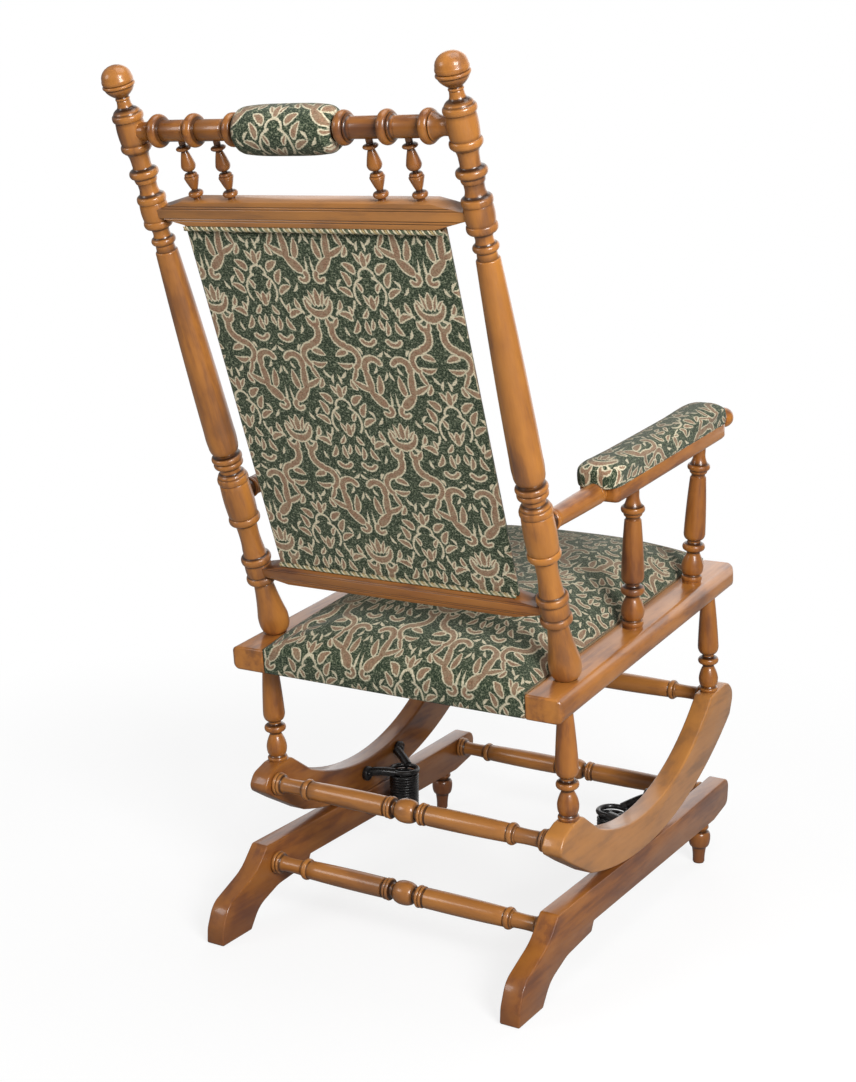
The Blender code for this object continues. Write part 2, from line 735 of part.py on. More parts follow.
def back_cross_rail(name, at, high):
    """Moulded board with cut-down ends and a round tenon in each post."""
    half = post_spread - post_ring / 2 - fit_gap
    body = half - back_rail_end
    end_half = back_rail_end_high / 2
    end_tip = end_half - 0.001
    corners = []
    for sign in (1, -1):
        corners += [(sign * body, -sign * high / 2, 0), (sign * (half - 0.006), -sign * end_half, 0)]
        corners += [(sign * half, -sign * end_tip, 0), (sign * half, sign * end_tip, 0)]
        corners += [(sign * (half - 0.006), sign * end_half, 0), (sign * body, sign * high / 2, 0)]
    mesh = plate_mesh(rounded(corners), back_rail_thick)
    upright = Matrix.Rotation(math.radians(90), 4, "X")
    place = back_frame @ Matrix.Translation((0, 0, at)) @ upright
    made = add_part(name, mesh, polished_wood, chair_axis, place)
    reach = half + back_tenon
    tenons = rod_mesh(back_tenon_across / 2, -reach, reach, 10)
    combine(made, add_helper(name + "_tenons", tenons, along(Vector((1, 0, 0)), on_back(0, 0, at))), "UNION")
    return made


def crest_turning(half):
    """Stations of the crest rail from one post to the other: three collars on each side of a plain middle."""
    stations = [(-crest_tenon, crest_tenon_across), (0, crest_tenon_across), (0, 0.0195), (0.004, crest_rod)]
    for at in reversed(crest_collar_at):
        root = crest_rod - 0.001
        stations += [(half - at - 0.012, root), (half - at - 0.006, 0.028), (half - at - 0.004, crest_collar)]
        stations += [(half - at + 0.004, crest_collar), (half - at + 0.006, root)]
    return mirrored(stations, 2 * half)


def crest_rail(name):
    half = post_spread - post_upper_block / 2 - fit_gap
    place = along(Vector((1, 0, 0)), on_back(-half, 0, crest_at))
    made = turned(name, crest_turning(half), 8, polished_wood, chair_axis, place)
    down = on_back(0, 0, 0) - on_back(0, 0, 1)
    for side in sides.values():
        for at in crest_spindle_at:
            mouth = on_back(side * at, 0, crest_at - crest_rod / 2)
            drill(made, mouth, -down, crest_spindle_tenon, crest_spindle_tenon_across)


def headrest_roll(name):
    """Stuffed roll round the middle of the crest rail, open along the rail."""
    bore = crest_rod / 2 / math.cos(math.pi / roll_facets) + fit_gap
    rows = []
    steps = 10
    for step in range(steps + 1):
        turn = 2 * step / steps - 1
        swell = roll_end_across + (roll_across - roll_end_across) * (1 - turn ** 4)
        drawn = 0.82 if step in (0, steps) else 1
        rows.append((swell / 2 * drawn, 0, -turn * roll_half))
    rows += [(bore, 0, -roll_half), (bore, 0, roll_half)]
    mesh = bpy.data.meshes.new("roll")
    mesh.from_pydata(rows, [(i, (i + 1) % len(rows)) for i in range(len(rows))], [])
    place = along(Vector((1, 0, 0)), on_back(0, 0, crest_at))
    spin(add_part(name, mesh, damask, chair_axis, place), roll_facets)


def crest_spindle(name, x):
    low = upper_rail_at + upper_rail_high / 2 + fit_gap
    length = crest_at - crest_rod / 2 - fit_gap - low
    tenon = crest_spindle_tenon_across
    stations = [(-crest_spindle_tenon, tenon), (0, tenon), (0, 0.0125)] + ring(0.005, 0.017, 0.006, 0.013)
    stations += [(0.011, 0.0095), (0.019, 0.0185), (0.027, 0.0135), (0.032, 0.009)] + ring(0.037, 0.018, 0.006, 0.011)
    stations += [(0.043, 0.009), (0.051, 0.0165), (length - 0.006, 0.0105), (length, 0.0095)]
    stations += [(length, tenon), (length + crest_spindle_tenon - fit_gap, tenon)]
    up = on_back(0, 0, 1) - on_back(0, 0, 0)
    turned(name, stations, 8, polished_wood, chair_axis, along(up, on_back(x, 0, low)))


def panel_span():
    low = lower_rail_at + lower_rail_high / 2 + fit_gap
    return low, upper_rail_at - upper_rail_high / 2 - fit_gap


def back_panel(name):
    low, high = panel_span()
    mesh = plate_mesh(rounded(rectangle(back_panel_half, low, high, 0.004)), back_panel_thick)
    upright = Matrix.Rotation(math.radians(90), 4, "X")
    add_part(name, mesh, damask, chair_axis, back_frame @ upright)


def back_pad(name):
    low, high = panel_span()
    mesh = cushion_mesh(back_panel_half - back_pad_inset, low, high, back_pad_thick, back_pad_crown, 5, 0.02)
    upright = Matrix.Rotation(math.radians(90), 4, "X")
    place = back_frame @ Matrix.Translation((0, -back_panel_thick / 2 - fit_gap, 0)) @ upright
    add_part(name, mesh, damask, chair_axis, place)


def arm(name, side):
    """Arm in one piece of wood: turned rod into the post, rounded board, turned knob."""
    frame = arm_frame(side)
    flat = Matrix.Rotation(math.radians(-90), 4, "X")
    corners = rectangle(arm_board_wide / 2, -arm_board_end, -arm_board_start, arm_board_round)
    mesh = plate_mesh(rounded(corners), arm_board_thick)
    lift = Matrix.Translation((0, arm_board_lift, 0))
    made = add_part(name, mesh, polished_wood, chair_axis, frame @ lift @ flat)
    start = post_block / 2
    rod = [(0.004, arm_tenon_across), (start + 0.004, arm_tenon_across), (start + 0.004, 0.017)]
    rod += ring(start + 0.012, 0.0265, 0.009, 0.0205) + [(start + 0.021, arm_rod_low)]
    rod += [(arm_board_start - 0.012, arm_rod_high)] + ring(arm_board_start - 0.004, 0.0270, 0.007, 0.0230)
    rod += [(arm_board_start + 0.012, 0.016)]
    knob = [(arm_board_end - 0.012, 0.0125), (arm_board_end + 0.006, 0.0125)]
    knob += ring(arm_board_end + 0.012, 0.0195, 0.007, 0.0135) + [(arm_knob_at - arm_knob_across / 2, 0.0135)]
    knob += ball(arm_knob_at, arm_knob_across, arm_knob_across, 6)[1:]
    for label, stations in (("rod", rod), ("knob", knob)):
        helper = add_helper(f"{name}_{label}", profile_mesh(stations), frame)
        spin(helper, 8)
        combine(made, helper, "UNION")
    for foot, head in arm_spindle_lines(side):
        drill(made, head, head - foot, arm_spindle_tenon, arm_spindle_tenon_across)
    mouth, inward = tack_line(side)
    drill(made, mouth, inward, tack_long, tack_shank)


def tack_line(side):
    """Where the tack on the rocking axis enters the inner edge of the arm board, and which way it runs."""
    frame = arm_frame(side)
    middle = frame.inverted() @ Vector((side * post_spread, contact_y, arc_centre_z))
    edge = frame @ Vector((-side * arm_board_wide / 2, 0, middle.z))
    return Vector((edge.x, contact_y, arc_centre_z)), Vector((side, 0, 0))


def arm_tack(name, side):
    """Domed tack, driven along the rocking axis, that holds the arm cover's edge."""
    mouth, inward = tack_line(side)
    stand = fit_gap + tack_head / 2 * math.tan(arm_splay)
    stations = [(-stand - 0.0022, tack_head * 0.5), (-stand - 0.0012, tack_head * 0.9), (-stand, tack_head)]
    stations += [(-stand, tack_shank), (tack_long, tack_shank)]
    turned(name, stations, 8, tack_brass, chair_axis, along(inward, mouth))


def arm_spindle_lines(side):
    """Foot on the seat rail and head under the arm board, for the rear and the front arm spindle."""
    frame = arm_frame(side)
    found = []
    for at, reach in zip(arm_spindle_feet, arm_spindle_heads):
        foot = on_seat(side * arm_spindle_spread, at, 0)
        found.append((foot, frame @ Vector((0, arm_board_lift - arm_board_thick / 2, reach))))
    return found


def arm_spindle(name, side, which):
    foot, head = arm_spindle_lines(side)[which]
    up = (head - foot).normalized()
    lean = up.angle(seat_up)
    stand = fit_gap + arm_spindle_foot / 2 * math.tan(lean)
    arm_up = (arm_frame(side).to_3x3() @ Vector((0, 1, 0))).normalized()
    top = (head - foot).length - fit_gap - arm_spindle_head / 2 * math.tan(up.angle(arm_up))
    tenon = arm_spindle_tenon_across
    stations = [(stand - arm_spindle_tenon, tenon), (stand, tenon), (stand, 0.9 * arm_spindle_foot)]
    stations += [(stand + 0.002, arm_spindle_foot), (0.008, arm_spindle_foot), (0.011, 0.785 * arm_spindle_foot)]
    stations += [(0.015, 0.915 * arm_spindle_vase), (0.022, arm_spindle_vase), (0.031, 0.83 * arm_spindle_vase)]
    stations += [(0.040, 0.6 * arm_spindle_vase)] + ring(0.050, arm_spindle_ring, 0.010, 0.7 * arm_spindle_ring)
    stations += [(0.0595, 0.6 * arm_spindle_ring), (0.064, 0.9 * arm_spindle_taper), (0.068, arm_spindle_taper)]
    stations += [(top - 0.050, 0.725 * arm_spindle_taper), (top - 0.047, 0.585 * arm_spindle_taper)]
    stations += ring(top - 0.036, arm_spindle_collar, 0.012, 0.775 * arm_spindle_collar)
    stations += [(top - 0.014, 1.03 * arm_spindle_head), (top, arm_spindle_head)]
    stations += [(top, tenon), (top + arm_spindle_tenon - 2 * fit_gap, tenon)]
    turned(name, stations, 8, polished_wood, chair_axis, along(up, foot))


def arm_pad(name, side):
    top = arm_board_lift + arm_board_thick / 2 + fit_gap
    mesh = cushion_mesh(
        arm_board_wide / 2 + 0.002,
        -arm_board_end + arm_pad_short,
        -arm_board_start + arm_pad_over,
        arm_pad_edge,
        arm_pad_crown,
        3,
        0.03,
    )
    flat = Matrix.Rotation(math.radians(-90), 4, "X")
    add_part(name, mesh, damask, chair_axis, arm_frame(side) @ Matrix.Translation((0, top, 0)) @ flat)


def spring_points(side):
    """Points along a coil spring, from its lower to its upper end."""
    radius = spring_across / 2
    rise = spring_high - spring_low - spring_wire
    count = spring_turns * points_per_turn
    found = []
    for step in range(count + 1):
        turn = 2 * math.pi * step / points_per_turn
        height = spring_low + spring_wire / 2 + rise * step / count
        found.append(
            Vector((side * (spring_spread + radius * math.cos(turn)), spring_y + radius * math.sin(turn), height))
        )
    return found


def least_self_gap(points, across):
    """Least clear distance between parts of a tube that are more than half a turn apart."""
    least = math.inf
    for i, here in enumerate(points):
        for other in points[i + points_per_turn // 2 + 1:]:
            least = min(least, (other - here).length - across)
    return least


def coil_spring(name, side):
    points = spring_points(side)
    print(f"{name} least gap to itself {1000 * least_self_gap(points, spring_wire):.2f} mm")
    add_part(name, tube_mesh(points, spring_wire, 1), black_iron, base_root, Matrix())


def spring_bracket(name, side, face, bosses, ring_z, parent):
    """Cast bracket: a ring against the end of the spring, two arms, and a round boss under each screw."""
    bar = bracket_bar / 2
    facets = 12
    slack = spring_across / 2 / math.cos(math.pi / facets)

    def hoop(step):
        turn = 2 * math.pi * step / facets
        return Vector((side * (spring_spread + slack * math.cos(turn)), spring_y + slack * math.sin(turn), ring_z))

    hoop_curve = bpy.data.curves.new("hoop", "CURVE")
    hoop_curve.dimensions = "3D"
    hoop_curve.bevel_depth = bar
    hoop_curve.bevel_resolution = 1
    line = hoop_curve.splines.new("POLY")
    line.points.add(facets - 1)
    line.use_cyclic_u = True
    for step in range(facets):
        line.points[step].co = (*hoop(step), 1)
    made = add_part(name, curve_mesh(hoop_curve), black_iron, parent, Matrix())
    for label, (reach, boss_z) in bosses.items():
        boss = Vector((side * (face - fit_gap), spring_y + reach, boss_z))
        inner = boss - Vector((side * boss_long, 0, 0))
        step = math.copysign(1, reach)
        flank = (boss + inner) / 2 - Vector((0, step * 0.45 * boss_across, 0))
        bar_mesh = tube_mesh([flank, hoop(2.5 * step)], bracket_bar, 1)
        combine(made, add_helper(f"{name}_{label}_bar", bar_mesh, Matrix()), "UNION")
        boss_mesh = rod_mesh(boss_across / 2, 0, boss_long, 10)
        combine(made, add_helper(f"{name}_{label}_boss", boss_mesh, along(Vector((side, 0, 0)), inner)), "UNION")
        hole = rod_mesh(screw_shank / 2 + 2 * tenon_gap, -0.01, boss_long + 0.01, socket_sides)
        combine(made, add_helper(f"{name}_{label}_hole", hole, along(Vector((side, 0, 0)), inner)), "DIFFERENCE")


def bracket_screw(name, side, face, place, parent):
    """Round-headed screw through a boss into the wood."""
    stand = fit_gap
    reach, boss_z = place
    inner = Vector((side * (face - fit_gap - boss_long), spring_y + reach, boss_z))
    stations = [(-stand - screw_head_high, screw_head * 0.45), (-stand - 0.6 * screw_head_high, screw_head * 0.85)]
    stations += [(-stand, screw_head), (-stand, screw_shank), (screw_long, screw_shank)]
    turned(name, stations, 6, black_iron, parent, along(Vector((side, 0, 0)), inner))


def build_base():
    rail_face = base_spread - rail_thick / 2
    for label, side in sides.items():
        base_rail(f"base_rail_{label}", side)
        front_foot(f"front_foot_{label}", side)
        coil_spring(f"coil_spring_{label}", side)
        spring_bracket(f"lower_spring_bracket_{label}", side, rail_face, lower_bosses, spring_low - ring_stand, base_root)
        for end, place in lower_bosses.items():
            bracket_screw(f"lower_screw_{label}_{end}", side, rail_face, place, base_root)
    stretcher("base_stretcher_rear", rail_face, base_rear_stretcher_y, base_rear_stretcher_z, base_root)
    stretcher("base_stretcher_front", rail_face, base_front_stretcher_y, base_front_stretcher_z, base_root)


def build_undercarriage():
    rocker_face = rocker_spread - rocker_thick / 2
    for label, side in sides.items():
        rocker(f"rocker_{label}", side)
        support_spindle(f"support_spindle_{label}_rear", side, rear_support_at)
        support_spindle(f"support_spindle_{label}_front", side, front_support_at)
        spring_bracket(f"upper_spring_bracket_{label}", side, rocker_face, upper_bosses, spring_high + ring_stand, chair_axis)
        for end, place in upper_bosses.items():
            bracket_screw(f"upper_screw_{label}_{end}", side, rocker_face, place, chair_axis)
    rear, front = rocker_stretcher_places()
    stretcher("rocker_stretcher_rear", rocker_face, rear.y, rear.z, chair_axis)
    stretcher("rocker_stretcher_front", rocker_face, front.y, front.z, chair_axis)


def build_seat():
    for label, side in sides.items():
        seat_side_rail(f"seat_rail_{label}", side)
    rear, front = cross_rail_places()
    seat_cross_rail("seat_rail_rear", rear)
    seat_cross_rail("seat_rail_front", front)
    seat_webbing("seat_webbing")
    seat_pad("seat_pad")


def build_back():
    for label, side in sides.items():
        back_post(f"back_post_{label}", side)
        crest_spindle(f"crest_spindle_{label}_inner", side * crest_spindle_at[0])
        crest_spindle(f"crest_spindle_{label}_outer", side * crest_spindle_at[1])
    crest_rail("crest_rail")
    headrest_roll("headrest_roll")
    upper = back_cross_rail("upper_back_rail", upper_rail_at, upper_rail_high)
    back_cross_rail("lower_back_rail", lower_rail_at, lower_rail_high)
    down = on_back(0, 0, 0) - on_back(0, 0, 1)
    for side in sides.values():
        for at in crest_spindle_at:
            mouth = on_back(side * at, 0, upper_rail_at + upper_rail_high / 2)
            drill(upper, mouth, down, crest_spindle_tenon, crest_spindle_tenon_across)
    back_panel("back_panel")
    back_pad("back_pad")


def build_arms():
    for label, side in sides.items():
        arm(f"arm_{label}", side)
        arm_pad(f"arm_pad_{label}", side)
        arm_spindle(f"arm_spindle_{label}_rear", side, 0)
        arm_spindle(f"arm_spindle_{label}_front", side, 1)
        arm_tack(f"arm_tack_{label}", side)


build_base()
build_undercarriage()
build_seat()
build_back()
build_arms()
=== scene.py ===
import math

import bpy
import numpy as np
from mathutils import Matrix, Vector


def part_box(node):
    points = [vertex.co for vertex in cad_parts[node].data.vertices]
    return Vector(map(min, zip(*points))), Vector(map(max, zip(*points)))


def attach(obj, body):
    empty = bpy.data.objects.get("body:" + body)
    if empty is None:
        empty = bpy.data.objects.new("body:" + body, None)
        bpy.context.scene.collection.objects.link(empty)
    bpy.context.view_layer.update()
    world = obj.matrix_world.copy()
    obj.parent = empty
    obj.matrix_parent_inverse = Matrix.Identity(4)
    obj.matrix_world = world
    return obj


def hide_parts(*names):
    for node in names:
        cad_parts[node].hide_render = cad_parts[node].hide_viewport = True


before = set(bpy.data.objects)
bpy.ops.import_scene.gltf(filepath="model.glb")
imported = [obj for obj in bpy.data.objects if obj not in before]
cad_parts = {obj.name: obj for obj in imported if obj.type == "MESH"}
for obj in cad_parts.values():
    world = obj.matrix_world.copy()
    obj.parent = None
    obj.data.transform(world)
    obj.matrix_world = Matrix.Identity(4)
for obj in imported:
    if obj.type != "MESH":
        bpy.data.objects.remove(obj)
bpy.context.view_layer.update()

bpy.ops.object.select_all(action="DESELECT")

# Settings of the camera, the lamps and the room

studio = {
    "cameraAt": (-1.0735, 1.8782, 0.9597),
    "yaw": 30.794,          # degrees the camera is turned from looking along -Y
    "pitch": 11.819,        # degrees it looks down
    "lens": 57.34,
    "sensor": 36.0,         # on the tall side of the picture
    "aimAt": (0, 0, 0.5),   # where the lamps point
    "floorSize": 30.0,
    "floorColour": (0.95, 0.95, 0.95, 1),
    "floorFade": (0.70, 1.5),      # metres from the chair over which the floor turns plain white
    "floorLift": 0.80,
    "skyLevel": 0.21,       # light from all round
    "glossLevel": 0.32,     # what polish reflects of the room
    "floorBounce": (0.36, 0.36, 0.36, 1),
}

lamps = {
    # name: place, size, watts
    "keyRight": ((-2.5, 1.8, 1.9), 1.2, 116),
    "fillLeft": ((2.0, 2.6, 1.9), 1.2, 24),
    "top": ((-0.3, 0.2, 3.0), 1.6, 20),
    "backdrop": ((0.5, -3.2, 1.5), 4.5, 76),
}

# Node helpers


def addNode(tree, kind, **settings):
    node = tree.nodes.new(kind)
    for key, value in settings.items():
        setattr(node, key, value)
    return node


def feed(tree, socket, value):
    if isinstance(value, bpy.types.NodeSocket):
        tree.links.new(value, socket)
    else:
        socket.default_value = value


def feedAll(tree, node, values):
    for label, value in values.items():
        feed(tree, node.inputs[label], value)
    return node


def calc(tree, operation, *values):
    node = addNode(tree, "ShaderNodeMath", operation=operation)
    for socket, value in zip(node.inputs, values):
        feed(tree, socket, value)
    return node.outputs[0]


def shift(tree, operation, a, b):
    node = addNode(tree, "ShaderNodeVectorMath", operation=operation)
    feed(tree, node.inputs[0], a)
    feed(tree, node.inputs[1], b)
    return node.outputs[0]


def lengthOf(tree, value):
    node = addNode(tree, "ShaderNodeVectorMath", operation="LENGTH")
    feed(tree, node.inputs[0], value)
    return node.outputs["Value"]


def splitXYZ(tree, value):
    node = addNode(tree, "ShaderNodeSeparateXYZ")
    feed(tree, node.inputs[0], value)
    return node.outputs


def joinXY(tree, x, y):
    node = addNode(tree, "ShaderNodeCombineXYZ")
    feed(tree, node.inputs[0], x)
    feed(tree, node.inputs[1], y)
    return node.outputs[0]


def blendColour(tree, amount, a, b):
    node = addNode(tree, "ShaderNodeMix", data_type="RGBA")
    for slot, value in ((0, amount), (6, a), (7, b)):
        feed(tree, node.inputs[slot], value)
    return node.outputs[2]


def ramp(tree, value, low, high, toLow=0.0, toHigh=1.0, style="LINEAR"):
    node = addNode(tree, "ShaderNodeMapRange", interpolation_type=style)
    feedAll(tree, node, {"Value": value, "From Min": low, "From Max": high, "To Min": toLow, "To Max": toHigh})
    return node.outputs[0]


def cloud(tree, place, scale, detail=2.0, rough=0.5, output="Fac"):
    node = addNode(tree, "ShaderNodeTexNoise")
    feedAll(tree, node, {"Vector": place, "Scale": scale, "Detail": detail, "Roughness": rough})
    return node.outputs[output]


def attributeOf(tree, name, output="Fac"):
    return addNode(tree, "ShaderNodeAttribute", attribute_name=name).outputs[output]


def newGroup(name, inputs, outputs):
    tree = bpy.data.node_groups.new(name, "ShaderNodeTree")
    for way, sockets in (("INPUT", inputs), ("OUTPUT", outputs)):
        for label, kind in sockets:
            tree.interface.new_socket(name=label, in_out=way, socket_type=kind)
    return tree, addNode(tree, "NodeGroupInput"), addNode(tree, "NodeGroupOutput")


def useGroup(tree, group, **values):
    return feedAll(tree, addNode(tree, "ShaderNodeGroup", node_tree=group), values).outputs


def newMaterial(name):
    made = bpy.data.materials.new(name)
    made.use_nodes = True
    return made, made.node_tree, made.node_tree.nodes["Principled BSDF"]


def addBump(tree, shader, height, strength, distance):
    bump = addNode(tree, "ShaderNodeBump")
    feedAll(tree, bump, {"Strength": strength, "Distance": distance, "Height": height})
    feed(tree, shader.inputs["Normal"], bump.outputs[0])


number, vector = "NodeSocketFloat", "NodeSocketVector"

# Studio: camera, lamps, room and floor


def addShape(name, add, **settings):
    bpy.ops.object.select_all(action="DESELECT")
    add(**settings)
    piece = bpy.context.object
    piece.name = name
    bpy.ops.object.transform_apply(location=True, rotation=True, scale=True)
    return piece


def aimCamera():
    yaw, pitch = math.radians(studio["yaw"]), math.radians(studio["pitch"])
    look = Vector((math.sin(yaw) * math.cos(pitch), -math.cos(yaw) * math.cos(pitch), -math.sin(pitch)))
    bpy.ops.object.camera_add(location=studio["cameraAt"], rotation=look.to_track_quat("-Z", "Y").to_euler())
    camera = bpy.context.object
    camera.data.sensor_fit = "VERTICAL"
    camera.data.sensor_height = studio["sensor"]
    camera.data.lens = studio["lens"]
    bpy.context.scene.camera = camera
    bpy.context.scene.view_settings.view_transform = "Standard"


def hangLamps():
    middle = Vector(studio["aimAt"])
    for name, (place, size, watts) in lamps.items():
        aim = (middle - Vector(place)).to_track_quat("-Z", "Y").to_euler()
        bpy.ops.object.light_add(type="AREA", location=place, rotation=aim)
        lamp = bpy.context.object
        lamp.name = name
        lamp.data.size = size
        lamp.data.energy = watts


def lightRoom():
    # white to the camera, dimmer as a light and in reflections
    world = bpy.data.worlds.new("studioSky")
    bpy.context.scene.world = world
    world.use_nodes = True
    tree = world.node_tree
    rays = addNode(tree, "ShaderNodeLightPath").outputs
    seen = calc(tree, "MAXIMUM", rays["Is Camera Ray"], rays["Is Transmission Ray"])
    dim = ramp(tree, rays["Is Glossy Ray"], 0.0, 1.0, studio["skyLevel"], studio["glossLevel"])
    level = calc(tree, "MAXIMUM", seen, dim)
    feedAll(tree, tree.nodes["Background"], {"Color": (1, 1, 1, 1), "Strength": level})


def layFloor():
    floor = addShape("studio_floor", bpy.ops.mesh.primitive_plane_add, size=studio["floorSize"])
    paint, tree, shader = newMaterial("paleFloor")
    seen = addNode(tree, "ShaderNodeLightPath").outputs["Is Camera Ray"]
    tint = blendColour(tree, seen, studio["floorBounce"], studio["floorColour"])
    feedAll(tree, shader, {"Base Color": tint, "Roughness": 0.9, "Specular IOR Level": 0.1})
    away = lengthOf(tree, addNode(tree, "ShaderNodeTexCoord").outputs["Object"])
    fade = ramp(tree, away, *studio["floorFade"], studio["floorLift"], style="SMOOTHSTEP")
    white = addNode(tree, "ShaderNodeEmission")
    mix = addNode(tree, "ShaderNodeMixShader")
    shown = (calc(tree, "MULTIPLY", fade, seen), shader.outputs[0], white.outputs[0])
    for socket, value in zip(mix.inputs, shown):
        feed(tree, socket, value)
    feed(tree, tree.nodes["Material Output"].inputs["Surface"], mix.outputs[0])
    floor.data.materials.append(paint)
    bpy.ops.object.select_all(action="DESELECT")


def buildStudio():
    aimCamera()
    hangLamps()
    lightRoom()
    layFloor()
    print("studio ready")


buildStudio()

# Wood: grain runs along the third axis of each piece's own grain attribute

wood = {
    "pale": (0.49, 0.182, 0.026, 1),
    "warm": (0.345, 0.116, 0.017, 1),
    "dark": (0.132, 0.044, 0.017, 1),
    "groove": (0.022, 0.008, 0.004, 1),
    # pale colour for rubbed edges, and also the painted light that pales lit pieces
    "worn_and_lit": (0.52, 0.26, 0.09, 1),
    "specular": 0.40, "coat": 0.38, "coatRough": 0.11,
    "fibreStrength": 0.06, "fibreDeep": 0.0004,
    "darkerBelow": 0.11, "darkestBelow": 0.02,      # heights over which the wood turns darker towards the bottom
}
# darkening, or below 0 paling, of each kind of piece: partly its own tone, partly painted shade (left rocker,
# crest spindles, base rails, seat pad) and painted light (right rocker)
pieceToneAndLight = {
    "crest_spindle": 0.45, "crest_rail": 0.25, "arm_spindle": 0.30, "lower_back_rail": 0.28, "base_rail": 0.30,
    "support_spindle": 0.12, "front_foot": 0.30, "rocker_left": 0.35, "rocker_right": -0.40,
    "upper_back_rail": -0.35, "back_post": -0.15, "seat_rail": -0.10, "rocker_stretcher": -0.25,
    "base_stretcher": -0.25, "seat_pad": 0.20,
}


def makeGrain():
    tree, start, end = newGroup("woodGrain", [("Grain", vector)], [("Tone", number), ("Fibre", number)])
    place = start.outputs["Grain"]
    broad = cloud(tree, shift(tree, "MULTIPLY", place, (36, 36, 10)), 1.0, 4.0, 0.55)
    streak = cloud(tree, shift(tree, "MULTIPLY", place, (130, 130, 12)), 1.0, 4.0, 0.6)
    fibre = cloud(tree, shift(tree, "MULTIPLY", place, (900, 900, 26)), 1.0, 2.0)
    bands = addNode(tree, "ShaderNodeTexWave", wave_type="BANDS", bands_direction="X")
    stretched = shift(tree, "MULTIPLY", place, (40, 40, 5))
    feedAll(tree, bands, {"Vector": stretched, "Scale": 0.9, "Distortion": 9.0,
                          "Detail": 2.5, "Detail Scale": 0.7})
    mixed = calc(tree, "MULTIPLY_ADD", broad, 0.78, calc(tree, "MULTIPLY", streak, 0.09))
    mixed = calc(tree, "MULTIPLY_ADD", bands.outputs["Fac"], 0.03, mixed)
    feedAll(tree, end, {"Tone": calc(tree, "MULTIPLY_ADD", fibre, 0.09, mixed), "Fibre": fibre})
    return tree


def makeWood(grain):
    made, tree, shader = newMaterial("polishedWood")
    place = attributeOf(tree, "grain", "Vector")
    groove = attributeOf(tree, "groove")
    lines = useGroup(tree, grain, Grain=place)
    tone = lines["Tone"]
    body = blendColour(tree, ramp(tree, tone, 0.33, 0.49), wood["dark"], wood["warm"])
    body = blendColour(tree, ramp(tree, tone, 0.43, 0.61), body, wood["pale"])
    blotch = cloud(tree, shift(tree, "MULTIPLY", place, (11, 11, 7)), 1.0, 3.0, 0.6)
    body = blendColour(tree, ramp(tree, blotch, 0.42, 0.70, 0.0, 0.34), body, wood["dark"])
    # per-piece darkening and paling: partly the piece's own tone, partly painted shade and painted light
    tone_and_painted_light = attributeOf(tree, "tone_and_painted_light")
    body = blendColour(tree, tone_and_painted_light, body, wood["dark"])
    # paling below 0: partly the piece's own tone, partly painted light on lit pieces
    body = blendColour(tree, calc(tree, "MULTIPLY", tone_and_painted_light, -1.0), body, wood["worn_and_lit"])
    edge = ramp(tree, addNode(tree, "ShaderNodeNewGeometry").outputs["Pointiness"], 0.52, 0.60, 0.0, 0.22)
    edge = calc(tree, "MULTIPLY", edge, ramp(tree, blotch, 0.35, 0.6))
    body = blendColour(tree, edge, body, wood["worn_and_lit"])
    height = splitXYZ(tree, addNode(tree, "ShaderNodeTexCoord").outputs["Object"])[2]
    # darker towards the bottom, patchy with the blotches
    lowDarkening = ramp(tree, height, wood["darkerBelow"], wood["darkestBelow"], 0.0, 0.75)
    lowDarkening = calc(tree, "MULTIPLY", lowDarkening, ramp(tree, blotch, 0.25, 0.6, 0.55, 1.0))
    body = blendColour(tree, lowDarkening, body, wood["dark"])
    # darker in the grooves, patchy with the blotches
    grooveDark = calc(tree, "MULTIPLY", groove, ramp(tree, blotch, 0.1, 0.55, 0.60, 0.95))
    body = blendColour(tree, grooveDark, body, wood["groove"])
    feedAll(tree, shader, {
        "Base Color": body,
        "Roughness": ramp(tree, tone, 0.3, 0.7, 0.40, 0.27),
        "Specular IOR Level": wood["specular"],
        "Coat Weight": wood["coat"],
        "Coat Roughness": wood["coatRough"],
    })
    addBump(tree, shader, lines["Fibre"], wood["fibreStrength"], wood["fibreDeep"])
    return made


# Damask: leaves and petals are bent ovals, scrolls are arcs, all drawn by their distance in millimetres

damask = {
    "repeatWide": 144.0,
    "repeatHigh": 163.3,     # each row steps half a repeat sideways
    "rowStart": -35.0,
    "outline": 1.85,         # width of the thread round a figure
    "sprigLine": 0.95,
    "wander": 3.0,           # how far the weave strays from the drawing
    "bumpStrength": 0.55, "bumpDeep": 0.0011,
    "groundDark": (0.013, 0.026, 0.012, 1),
    "groundLight": (0.200, 0.235, 0.140, 1),
    "fillDark": (0.180, 0.096, 0.052, 1),
    "fillLight": (0.400, 0.235, 0.145, 1),
    "thread": (0.800, 0.720, 0.520, 1),
    "threadDark": (0.440, 0.380, 0.240, 1),
    "fleck": (0.330, 0.350, 0.230, 1),
    "pile": (0.036, 0.042, 0.016, 1),      # seen along the pile, the pattern sinks into this
}

